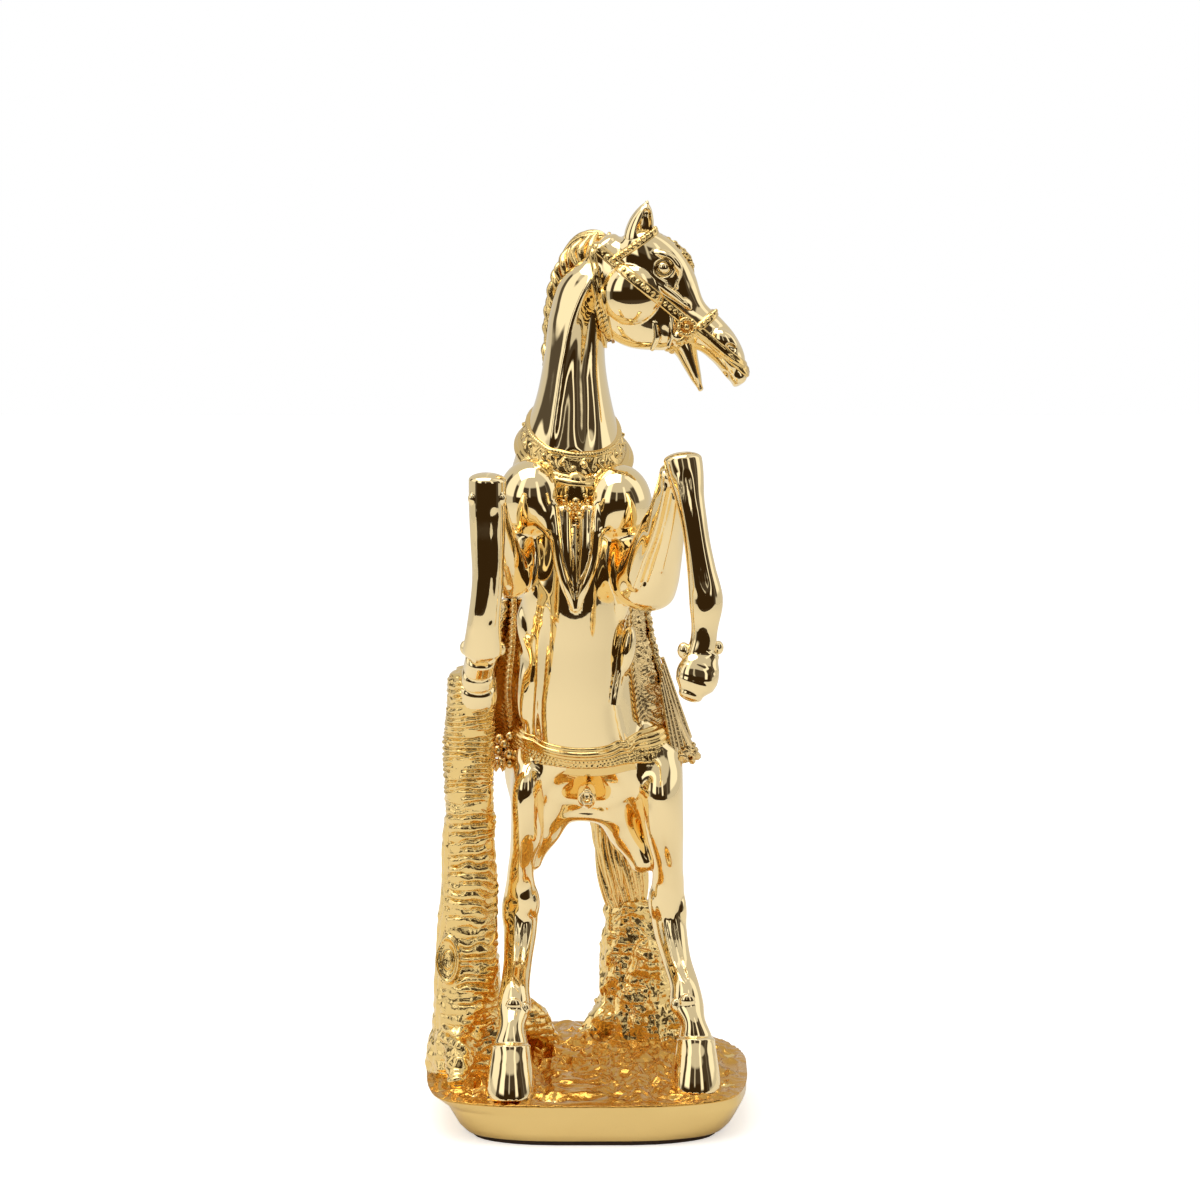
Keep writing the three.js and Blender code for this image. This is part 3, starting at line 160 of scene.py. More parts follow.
def ridges(lines, facing):
    """Relief of long ridges on a limb, or furrows where the height is below zero. Each line has its points, as
    share along and distance across, its half width and its height: height x exp(-(off / half width)^2)."""
    rows = [(*np.array(points, float).T, wide, high) for points, wide, high in lines]

    def relief(share, across, depth):
        total = np.zeros(len(share))
        for s, line, wide, high in rows:
            fade = smooth_step(share, s[0] - 0.04, s[0] + 0.03) - smooth_step(share, s[-1] - 0.03, s[-1] + 0.04)
            total += high * fade * np.exp(-(((across - np.interp(share, s, line)) / wide) ** 2))
        return total * smooth_step(depth * facing, -0.15, 0.3)

    return relief


def hoop(centre, axis, reach, thick):
    """Ring of a round section: sqrt((r - reach)^2 + h^2) - thick, with r from the axis and h along it."""
    axis = unit(axis)

    def distance(points):
        rel = points - np.array(centre, float)
        height = rel @ axis
        return np.hypot(np.sqrt(np.maximum((rel**2).sum(-1) - height**2, 0)) - reach, height) - thick

    return distance


def blob(centre, radii, lean=None):
    """Ellipsoid. Lean gives the directions of its first two axes."""
    first, second = (unit(v) for v in (lean or ((1, 0, 0), (0, 1, 0))))
    second = unit(second - first * np.dot(first, second))
    axes = (first, second, np.cross(first, second))
    radii = np.array(radii, float)

    def distance(points):
        rel = points - np.array(centre, float)
        return ellipse_distance([rel @ axis for axis in axes], list(radii))

    return distance


def melt(a, b, soft):
    """Union of two distances, with a fillet about as wide as soft."""
    h = np.maximum(soft - np.abs(a - b), 0) / soft
    return np.minimum(a, b) - h**3 * soft / 6


def carve(a, b, soft):
    """Distance a with b taken out, with a rounded edge about as wide as soft."""
    return -melt(-a, b, soft)


def melted(fields, soft):
    """Union of several distances, with fillets about as wide as soft."""
    def distance(points):
        total = fields[0](points)
        for field in fields[1:]:
            total = melt(total, field(points), soft)
        return total

    return distance


# Surfaces from distance fields

BLOCK = 3  # steps of the fine grid in one of the coarse grid
PART = 16384  # points that one worker takes at a time
WORKERS = concurrent.futures.ThreadPoolExecutor(4)


def in_parts(field, points):
    """The field at many points, worked out in parts side by side."""
    parts = np.array_split(points, max(1, len(points) // PART))
    return np.concatenate(list(WORKERS.map(field, parts)))


def sampled(field, low, counts, step):
    """The field on a grid. Points far from the surface take the value of a coarse grid instead."""
    coarse_counts = [-(-n // BLOCK) + 1 for n in counts]
    grids = np.meshgrid(*(np.arange(n) * step * BLOCK for n in coarse_counts), indexing="ij")
    coarse = in_parts(field, np.stack(grids, -1).reshape(-1, 3) + low).reshape(coarse_counts)
    for axis in range(3):
        coarse = np.repeat(coarse, BLOCK, axis=axis)
    half = BLOCK // 2
    coarse = coarse[half : half + counts[0], half : half + counts[1], half : half + counts[2]]
    near = np.argwhere(np.abs(coarse) < step * BLOCK * 1.6)
    values = coarse.copy()
    values[tuple(near.T)] = in_parts(field, near * step + low)
    return values


def gradient(field, points, reach=0.04):
    """Slope of the field, from its values at the four corners of a small tetrahedron round each point."""
    total = np.zeros_like(points)
    for corner in np.array([[1, 1, 1], [1, -1, -1], [-1, 1, -1], [-1, -1, 1]]):
        total += in_parts(field, points + corner * reach)[:, None] * corner
    return total / (4 * reach)


EDGES = [(a, b) for a in range(8) for b in range(a + 1, 8) if bin(a ^ b).count("1") == 1]
CORNERS = np.array([[c & 1, (c >> 1) & 1, c >> 2] for c in range(8)])


def skinned(field, low, high, step):
    """Closed quad surface where the field is zero: one point in each grid cell that the surface crosses, at the
    mean of its edge crossings and then moved onto the zero level, and one quad round each crossed grid edge."""
    low = np.array(low, float)
    counts = [int(n) for n in np.ceil((np.array(high) - low) / step) + 1]
    values = sampled(field, low, counts, step)
    inside = values < 0
    cells = [n - 1 for n in counts]
    corner_inside = [inside[x : x + cells[0], y : y + cells[1], z : z + cells[2]] for x, y, z in CORNERS]
    full = sum(part.astype(np.int8) for part in corner_inside)
    used = np.argwhere((full > 0) & (full < 8))
    number = np.full(cells, -1, np.int64)
    number[tuple(used.T)] = np.arange(len(used))
    at_corner = np.stack([values[tuple((used + corner).T)] for corner in CORNERS], -1)
    total, crossings = np.zeros((len(used), 3)), np.zeros(len(used))
    for a, b in EDGES:
        va, vb = at_corner[:, a], at_corner[:, b]
        crossed = (va < 0) != (vb < 0)
        share = np.where(crossed, va / np.where(crossed, va - vb, 1), 0)
        total += crossed[:, None] * (CORNERS[a] + share[:, None] * (CORNERS[b] - CORNERS[a]))
        crossings += crossed
    points = low + step * (used + total / crossings[:, None])
    quads = []
    for axis in range(3):
        u, v = (axis + 1) % 3, (axis + 2) % 3
        first = [slice(0, cells[k]) for k in range(3)]
        second = list(first)
        second[axis] = slice(1, cells[axis] + 1)
        change = inside[tuple(first)] != inside[tuple(second)]
        place = np.argwhere(change)
        place = place[(place[:, u] > 0) & (place[:, v] > 0)]
        back_u, back_v = np.zeros(3, int), np.zeros(3, int)
        back_u[u] = back_v[v] = 1
        ring = [place - back_u - back_v, place - back_v, place, place - back_u]
        quad = np.stack([number[tuple(part.T)] for part in ring], -1)
        leaving = inside[tuple(place.T)]
        quads.append(np.where(leaving[:, None], quad, quad[:, ::-1]))
    for _ in range(2):
        slope = gradient(field, points)
        size = np.maximum((slope**2).sum(-1), 0.05)
        move = (in_parts(field, points) / size)[:, None] * slope
        points -= move * np.minimum(1, 0.6 * step / np.maximum(np.linalg.norm(move, axis=-1), 1e-9))[:, None]
    return points, np.concatenate(quads), unit(gradient(field, points))


# Surfaces from grids of points

def grid_quads(rows, columns, ring=False, loop=False):
    """Quads over a grid of points. Ring joins the last column to the first, and loop the last row to the first."""
    r = np.arange(rows if loop else rows - 1)[:, None]
    c = np.arange(columns if ring else columns - 1)[None, :]
    r2, c2 = (r + 1) % rows, (c + 1) % columns
    corners = (r * columns + c, r * columns + c2, r2 * columns + c2, r2 * columns + c)
    return np.stack([np.broadcast_to(x, (len(r), c.shape[1])) for x in corners], -1).reshape(-1, 4)


def closed_tube(grid):
    """Points and quads of a tube of rings whose two ends close on their middle points."""
    rows, columns = grid.shape[:2]
    ends = [np.repeat(ring.mean(0)[None], columns, 0) for ring in (grid[0], grid[-1])]
    full = np.concatenate([ends[0][None], grid, ends[1][None]])
    return full.reshape(-1, 3), grid_quads(rows + 2, columns, ring=True)


def swept(path, radii, sides=12, squash=1.0, lean=(0, 0, 1), relief=None):
    """Tube along a path: at each point of it a circle of the given radius, squashed along the lean direction.
    The relief adds to the radius, by the share along the path and the angle round it."""
    path = np.asarray(path, float)
    radii = np.broadcast_to(np.asarray(radii, float), (len(path),))
    along = unit(np.gradient(path, axis=0))
    side = unit(np.cross(along, np.asarray(lean, float)))
    up = np.cross(side, along)
    share = np.linspace(0, 1, len(path))[:, None]
    angle = np.linspace(0, 2 * np.pi, sides, endpoint=False)[None, :]
    reach = radii[:, None] * (1 + (relief(share, angle) if relief else 0))
    return (
        path[:, None]
        + (reach * np.cos(angle))[..., None] * side[:, None]
        + (reach * np.sin(angle) * squash)[..., None] * up[:, None]
    )


def smooth_path(points, count):
    """Curve through points, by cubic Hermite pieces over their chord lengths."""
    points = np.array(points, float)
    places = np.concatenate([[0], np.cumsum(np.linalg.norm(np.diff(points, axis=0), axis=1))])
    places /= places[-1]
    shares = np.linspace(0, 1, TABLE_ROWS)
    at = np.linspace(0, 1, count)
    return np.stack([np.interp(at, shares, spread(places, points[:, k])) for k in range(3)], -1)


def strand_form(stations, relief, rows=220, sides=96, across=(1, 0, 0)):
    """Closed tube of oval sections along a curve, like a lock of hair: the relief scales each section."""
    data = np.array(stations, float)
    places = np.concatenate([[0], np.cumsum(np.linalg.norm(np.diff(data[:, :3], axis=0), axis=1))])
    places /= places[-1]
    tables = [spread(places, data[:, k]) for k in range(5)]
    shares = np.linspace(0, 1, TABLE_ROWS)
    turn = np.linspace(0, np.pi, rows)
    share = (1 - np.cos(turn)) / 2
    x, y, z, w, d = (np.interp(share, shares, table) for table in tables)
    path = np.stack([x, y, z], -1)
    along = unit(np.gradient(path, axis=0))
    width = unit(np.array(across, float) - along * (along @ np.array(across, float))[:, None])
    depth = np.cross(along, width)
    close = np.sqrt(np.clip(1 - np.abs(2 * share - 1) ** 14, 0, 1))
    angle = np.linspace(0, 2 * np.pi, sides, endpoint=False)
    lift = 1 + relief(share[:, None], angle[None, :])
    grid = (
        path[:, None]
        + (close[:, None] * lift * np.cos(angle) * w[:, None])[..., None] * width[:, None]
        + (close[:, None] * lift * np.sin(angle) * d[:, None])[..., None] * depth[:, None]
    )
    return closed_tube(grid)


def small_ball(sides=10, rings=6):
    """Unit sphere as points and quads, its poles closed by points that share a place."""
    down = np.linspace(0, np.pi, rings + 1)[:, None]
    angle = np.linspace(0, 2 * np.pi, sides, endpoint=False)[None, :]
    points = np.stack(
        [np.sin(down) * np.cos(angle), np.sin(down) * np.sin(angle), np.cos(down) * np.ones_like(angle)], -1
    )
    return points.reshape(-1, 3), grid_quads(rings + 1, sides, ring=True)[:, ::-1]


def beads(centres, radii):
    """One small ball at each centre."""
    ball, quads = small_ball()
    centres = np.asarray(centres, float)
    radii = np.broadcast_to(np.asarray(radii, float), (len(centres),))
    points = centres[:, None] + ball[None] * radii[:, None, None]
    faces = quads[None] + (np.arange(len(centres)) * len(ball))[:, None, None]
    return points.reshape(-1, 3), faces.reshape(-1, 4)


def gathered(parts):
    """Several point and quad sets as one."""
    points, faces, count = [], [], 0
    for part_points, part_faces in parts:
        points.append(part_points)
        faces.append(part_faces + count)
        count += len(part_points)
    return np.concatenate(points), np.concatenate(faces)


# Pieces

SEAM_SINK = 0.12

# Finish and slot of each kind of piece
KINDS = {
    "horse": ("mirror_gold_plate", "mirror_gold"),
    "bridle": ("cast_trim_plate", "trim_gold"),
    "tack": ("cast_trim_plate", "trim_gold"),
    "hair": ("cast_hair_plate", "trim_gold"),
    "cloth": ("cast_fleece_plate", "cloth_gold"),
    "wood": ("cast_bark_plate", "rough_gold"),
    "ground": ("cast_ground_plate", "rough_gold"),
}


def put_piece(kind, node, points, faces, normals=None):
    """Makes the piece's object from millimetre points, seats it on the part and lets it stand for its CAD node."""
    name = kind + "_" + node
    plate, slot = KINDS[kind]
    mesh = bpy.data.meshes.new(name)
    mesh.vertices.add(len(points))
    place = (points + np.array([0, 0, GROUND])) * MM
    mesh.vertices.foreach_set("co", place.astype(np.float32).ravel())
    mesh.loops.add(faces.size)
    mesh.loops.foreach_set("vertex_index", faces.astype(np.int32).ravel())
    mesh.polygons.add(len(faces))
    mesh.polygons.foreach_set("loop_start", np.arange(0, faces.size, faces.shape[1], dtype=np.int32))
    mesh.update(calc_edges=True)
    mesh.shade_smooth()
    if normals is None:
        merge_poles(mesh)
    else:
        mesh.normals_split_custom_set_from_vertices(normals.astype(np.float32))
    mesh.materials.append(finish(plate))
    piece = bpy.data.objects.new(name, mesh)
    bpy.context.scene.collection.objects.link(piece)
    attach(piece, "root")
    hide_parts(node)
    return piece


def merge_poles(mesh):
    """Joins the points that share a place at a pole, and turns the faces outwards."""
    shape = bmesh.new()
    shape.from_mesh(mesh)
    bmesh.ops.remove_doubles(shape, verts=shape.verts, dist=1e-6)
    bmesh.ops.dissolve_degenerate(shape, edges=shape.edges, dist=1e-7)
    bmesh.ops.recalc_face_normals(shape, faces=shape.faces)
    shape.to_mesh(mesh)
    shape.free()


def grow_piece(kind, node, field, box, step, sink=None):
    """Piece from a distance field within a box. Past the seam with a neighbour, where the sink's own distance is
    above zero, the surface is drawn in by that distance squared times SEAM_SINK."""

    def drawn_in(points):
        if sink is None:
            return field(points)
        return field(points) + SEAM_SINK * np.maximum(sink(points), 0) ** 2

    points, quads, normals = skinned(drawn_in, box[0], box[1], step)
    return put_piece(kind, node, points, quads, normals)


# Materials

def linear(code):
    """sRGB hex text as a linear colour with alpha."""
    parts = [int(code[k : k + 2], 16) / 255 for k in (1, 3, 5)]
    return [p / 12.92 if p <= 0.04045 else ((p + 0.055) / 1.055) ** 2.4 for p in parts] + [1.0]


def add_node(tree, kind, settings=None, inputs=None):
    """Adds a node: settings are its properties, inputs its socket values, or sockets to link from."""
    node = tree.nodes.new(kind)
    for key, value in (settings or {}).items():
        setattr(node, key, value)
    for key, value in (inputs or {}).items():
        if isinstance(value, bpy.types.NodeSocket):
            tree.links.new(value, node.inputs[key])
        else:
            node.inputs[key].default_value = value
    return node


def new_material(name, colour, metallic, roughness, detail=None):
    """Principled material. The detail function adds bump or colour nodes and returns sockets to link."""
    material = bpy.data.materials.new(name)
    material.use_nodes = True
    tree = material.node_tree
    tree.nodes.clear()
    inputs = {"Base Color": list(colour)[:3] + [1.0], "Metallic": metallic, "Roughness": roughness}
    if detail:
        inputs.update(detail(tree))
    shader = add_node(tree, "ShaderNodeBsdfPrincipled", inputs=inputs)
    add_node(tree, "ShaderNodeOutputMaterial", inputs={"Surface": shader.outputs["BSDF"]})
    return material


def grain(tree, size_mm, height_mm, detail):
    """Bump from noise whose grains are about the given size, as the noise's node and the normal's socket."""
    place = add_node(tree, "ShaderNodeTexCoord").outputs["Object"]
    noise = add_node(
        tree, "ShaderNodeTexNoise", inputs={"Vector": place, "Scale": 1 / (size_mm * MM), "Detail": detail}
    )
    bump = add_node(tree, "ShaderNodeBump", inputs={"Height": noise.outputs["Fac"], "Distance": height_mm * MM})
    return noise, bump.outputs["Normal"]


def mirror_plate():
    """Electroplated gold on polished resin: a near mirror, so the eye sees the studio and the horse's own
    limbs in it, pale where it faces the light and deep orange where it faces more gold."""

    def detail(tree):
        return {"Normal": grain(tree, 9.0, 0.05, 2.0)[1]}

    return new_material("mirror_gold_plate", bpy.context.scene.statue_colours.polished, 1.0, 0.035, detail)


# Plates on moulded textures: colour, size and height of the grain in millimetres, and roughness
CAST_PLATES = {
    # Bark: bright ridges over dark cracks
    "cast_bark_plate": ("rough", 1.6, 0.16, 0.07),
    # Rocky ground: a deeper gold, a painted shade for the way its faces mirror one another
    "cast_ground_plate": ("ground", 1.8, 0.3, 0.11),
    # Straps, rings and beads: small rounded mirrors
    "cast_trim_plate": ("trim", 2.0, 0.1, 0.1),
    # Hair: long glints between dark partings
    "cast_hair_plate": ("trim", 1.2, 0.12, 0.14),
    # Fleece and pleated cloth: a soft sparkle. Real fibres are finer than this grain, and wouldn't show
    "cast_fleece_plate": ("cloth", 1.1, 0.16, 0.13),
    # Wall of the base: one long reflection, bent by slow waves of the casting
    "base_wall_plate": ("rough", 7.0, 0.5, 0.1),
}


def cast_plate(name):
    """Electroplated gold on a moulded texture: many small mirrors that glint or go dark."""
    colour, size_mm, height_mm, roughness = CAST_PLATES[name]

    def detail(tree):
        return {"Normal": grain(tree, size_mm, height_mm, 4.0)[1]}

    return new_material(name, getattr(bpy.context.scene.statue_colours, colour), 1.0, roughness, detail)


def felt_cloth():
    """Pressed wool felt: matt, with short loose fibres about 0.4 mm apart."""

    def detail(tree):
        noise, normal = grain(tree, 0.4, 0.15, 4.0)
        shade = add_node(
            tree,
            "ShaderNodeMix",
            {"data_type": "RGBA"},
            {"Factor": noise.outputs["Fac"], "A": linear("#2a1f18"), "B": linear("#4e3c2c")},
        )
        return {"Base Color": shade.outputs["Result"], "Normal": normal}

    return new_material("pressed_wool_felt", linear("#3a2c20"), 0.0, 0.95, detail)


def drawn_steel():
    """Plain drawn steel rod: grey, with a dull sheen."""
    return new_material("drawn_steel_rod", linear("#8d8f92"), 1.0, 0.4)


def turned_beech():
    """Beech dowel: pale, close grained wood."""
    return new_material("turned_beech_dowel", linear("#c9a877"), 0.0, 0.75)


def finish(name):
    """The named material, made the first time that it is asked for."""
    makers = {
        "mirror_gold_plate": mirror_plate,
        "pressed_wool_felt": felt_cloth,
        "drawn_steel_rod": drawn_steel,
        "turned_beech_dowel": turned_beech,
    }
    if name not in bpy.data.materials:
        return makers[name]() if name in makers else cast_plate(name)
    return bpy.data.materials[name]


# The horse: the same driving sizes as the CAD part

HOOF_HEIGHT = 17
FETLOCK_HEIGHT = 31
HOCK_HEIGHT = 68
STIFLE_HEIGHT = 116
RIGHT_STANCE = -28
LEFT_STANCE = 35
BODY_MIDDLE = -4
PELVIS_FLOOR_HEIGHT = 105
BELLY_HEIGHT = 158
CHEST_HEIGHT = 238
WITHERS_HEIGHT = 266
THROAT_HEIGHT = 307
POLL_HEIGHT = 350
KNEE_HEIGHT = 262
HEAD_LENGTH = 82
GROUND_SINK = 3

SPINE = [
    (3, 3, PELVIS_FLOOR_HEIGHT + 4, 22, 13),
    (3, 5, PELVIS_FLOOR_HEIGHT + 14, 30, 24),
    (0, 5, PELVIS_FLOOR_HEIGHT + 29, 29, 31),
    (BODY_MIDDLE, 2, BELLY_HEIGHT, 28.5, 33),
    (BODY_MIDDLE - 0.5, 1, BELLY_HEIGHT + 25, 26, 34.2),
    (BODY_MIDDLE - 0.5, 0, CHEST_HEIGHT - 33, 25.5, 34.8),
    (BODY_MIDDLE - 0.5, 0, CHEST_HEIGHT - 14, 27.5, 32.5),
    (BODY_MIDDLE - 1, 0, CHEST_HEIGHT + 5, 29, 30.5),
    (BODY_MIDDLE - 1.5, 1, WITHERS_HEIGHT - 11, 26, 28),
    (BODY_MIDDLE - 2, 1, WITHERS_HEIGHT + 2, 21.5, 24.5),
    (BODY_MIDDLE - 1.2, 1, WITHERS_HEIGHT + 19, 16, 20),
    (BODY_MIDDLE - 0.6, 2, THROAT_HEIGHT - 2, 12.6, 17),
    (BODY_MIDDLE + 1.2, 2.5, THROAT_HEIGHT + 16, 12, 16),
    (2, 2, POLL_HEIGHT - 12, 11, 13.5),
    (7, 0, POLL_HEIGHT - 4, 7.5, 9),
]
SPINE_ROWS = np.array(SPINE, float)


def barrel_at(z):
    """Middle and half sizes of the barrel at a height."""
    share = (z - SPINE_ROWS[0, 2]) / (SPINE_ROWS[-1, 2] - SPINE_ROWS[0, 2])
    places = (SPINE_ROWS[:, 2] - SPINE_ROWS[0, 2]) / (SPINE_ROWS[-1, 2] - SPINE_ROWS[0, 2])
    shares = np.linspace(0, 1, TABLE_ROWS)
    return [np.interp(share, shares, spread(places, SPINE_ROWS[:, k])) for k in (0, 1, 3, 4)]


def on_front(x, z, out=0.0):
    """Point so far in front of the bare barrel or neck: y = middle - depth x sqrt(1 - ((x - middle) / width)^2)."""
    middle, y, wide, deep = (float(v) for v in barrel_at(z))
    return (x, y - deep * math.sqrt(max(1 - ((x - middle) / wide) ** 2, 0.05)) - out, z)


def up_spine(*points):
    """Points x, z on the front of the body as share along the spine and distance across from its middle."""
    low, high = SPINE_ROWS[0, 2], SPINE_ROWS[-1, 2]
    return [((z - low) / (high - low), x - float(barrel_at(z)[0])) for x, z in points]


def front_limb(*rows):
    """Round limb along the front of the body, through rows of x, z, radius and how far out its middle lies."""
    return limb([(*on_front(x, z, out), r, r) for x, z, r, out in rows], domes=(1.0, 1.0))


# Folds of the neck from the left, then the soft edges of the belly panel and the rim of the flank
spine_relief = ridges(
    [
        (up_spine((-14.5, 270), (-12.8, 284), (-11, 296), (-5, 322), (3, 338)), 2.6, 2.4),
        (up_spine((0.5, 270), (-0.5, 296), (1.0, 316), (3, 328)), 3.4, -2.2),
        (up_spine((-21, 140), (-20.5, 168), (-19, 198)), 2.6, -1.7),
        (up_spine((13.5, 140), (10.5, 160), (13, 178), (17, 194)), 2.4, -1.3),
        (up_spine((20, 136), (15.5, 146), (12.6, 160), (15.4, 176), (20, 192)), 1.2, 1.0),
    ],
    -1,
)
spine = limb(SPINE, domes=(0.4, 0.5), relief=spine_relief)

SEAM_AT = np.array([BODY_MIDDLE, 0, WITHERS_HEIGHT + 7.5])
COLLAR_NORMAL = unit([0.12, -0.43, 1])


def above_seam(points):
    """Height above the plane of the seam under the collar, which splits the neck from the torso."""
    return (points - SEAM_AT) @ COLLAR_NORMAL


shoulders = melted(
    [
        blob((BODY_MIDDLE - 18.5, -21.5, CHEST_HEIGHT + 8.5), (14, 15.5, 16)),
        blob((BODY_MIDDLE + 17.5, -21.5, CHEST_HEIGHT + 6.5), (14, 15.5, 16)),
        limb([(-24, -26, 247, 9.5, 9.5), (-17, -31, 240, 6.4, 6.4), (-13.4, -33.6, 233, 3.4, 3.4)], domes=(0.8, 1.0)),
        limb([(14, -26, 246, 9.5, 9.5), (8.8, -31, 240, 5.4, 5.4), (5.4, -33.6, 234, 3.0, 3.0)], domes=(0.8, 1.0)),
    ],
    3.0,
)
# The breast: a ridge down each side to the V's point, and two columns with a thin ridge between them inside it
breast_edges = [
    front_limb(
        (-13.6, 244, 2.8, 3.2), (-12.6, 234, 2.7, 3.8), (-11, 222, 2.5, 3.6), (-8, 211, 2.1, 2.6), (-4.6, 202, 1.5, 1.0)
    ),
    front_limb(
        (5.2, 244, 2.8, 3.2), (4.6, 234, 2.6, 3.8), (3.2, 222, 2.4, 3.6), (-0.6, 211, 2.1, 2.6), (-3.8, 202, 1.5, 1.0)
    ),
]
breast_columns = [
    front_limb((-8.4, 242, 3.0, 1.0), (-8.0, 226, 3.0, 1.6), (-6.2, 211, 1.9, 1.2)),
    front_limb((0.0, 242, 3.0, 1.0), (-0.4, 226, 2.9, 1.6), (-2.2, 211, 1.8, 1.2)),
    front_limb((-4.3, 236, 0.9, 1.4), (-4.3, 220, 1.0, 2.6), (-4.3, 203, 0.9, 1.2)),
]
breast_hollow = front_limb(
    (-4.3, 262, 7.0, 4.0), (-4.3, 252, 6.8, 4.6), (-4.3, 240, 6.0, 4.0), (-4.3, 222, 4.2, 3.4), (-4.3, 206, 1.6, 1.2)
)
muscles = melted(
    [
        blob((-19, 6, STIFLE_HEIGHT + 15), (15, 24, 24)),
        blob((25, 6, STIFLE_HEIGHT + 15), (15, 24, 24)),
        blob((BODY_MIDDLE - 15.5, -20, CHEST_HEIGHT - 33), (5.6, 9, 14), ((1, 0, 0.15), (0, 1, 0))),
    ],
    5.0,
)
rib_lobes = [
    blob((-20.5, -22.5, 214), (4.4, 5.0, 13), ((1, 0, 0.12), (0, 1, 0))),
    blob((-24.5, -17.5, 189), (4.0, 5.0, 11), ((1, 0, 0.2), (0, 1, 0))),
    blob((-25.5, -16, 164), (3.6, 5.4, 13), ((1, 0, -0.1), (0, 1, 0))),
    blob((15.5, -23, 206), (3.6, 5.0, 12), ((1, 0, -0.1), (0, 1, 0))),
    blob((17.5, -20, 182), (3.4, 5.0, 10), ((1, 0, -0.15), (0, 1, 0))),
]
belly_hollow = melted([blob((0.5, -37, 117), (27, 25, 17)), blob((1, -37, 131), (24, 13, 8))], 4.0)
sheath = blob((0.5, -19, STIFLE_HEIGHT + 3.5), (4.8, 9.6, 6.6))
sheath_ring = hoop((0.4, -27.4, STIFLE_HEIGHT + 3.6), (0, 1, 0.25), 3.1, 0.85)
sheath_hollow = blob((0.4, -28.6, STIFLE_HEIGHT + 4.6), (2.0, 2.6, 2.6))


def barrel(points):
    """Barrel and neck with the large muscles melted in."""
    return melt(spine(points), muscles(points), 9.0)


def torso_own(points):
    """Barrel with ribs, shoulders, breast and sheath, and hollow under the belly."""
    total = barrel(points)
    total = carve(total, belly_hollow(points), 5.0)
    for lobe in rib_lobes:
        total = melt(total, lobe(points), 3.6)
    total = melt(total, shoulders(points), 3.0)
    total = carve(total, breast_hollow(points), 2.0)
    for column in breast_columns:
        total = melt(total, column(points), 0.9)
    for edge in breast_edges:
        total = melt(total, edge(points), 1.6)
    total = melt(total, sheath(points), 2.0)
    return melt(carve(total, sheath_hollow(points), 1.0), sheath_ring(points), 0.7)


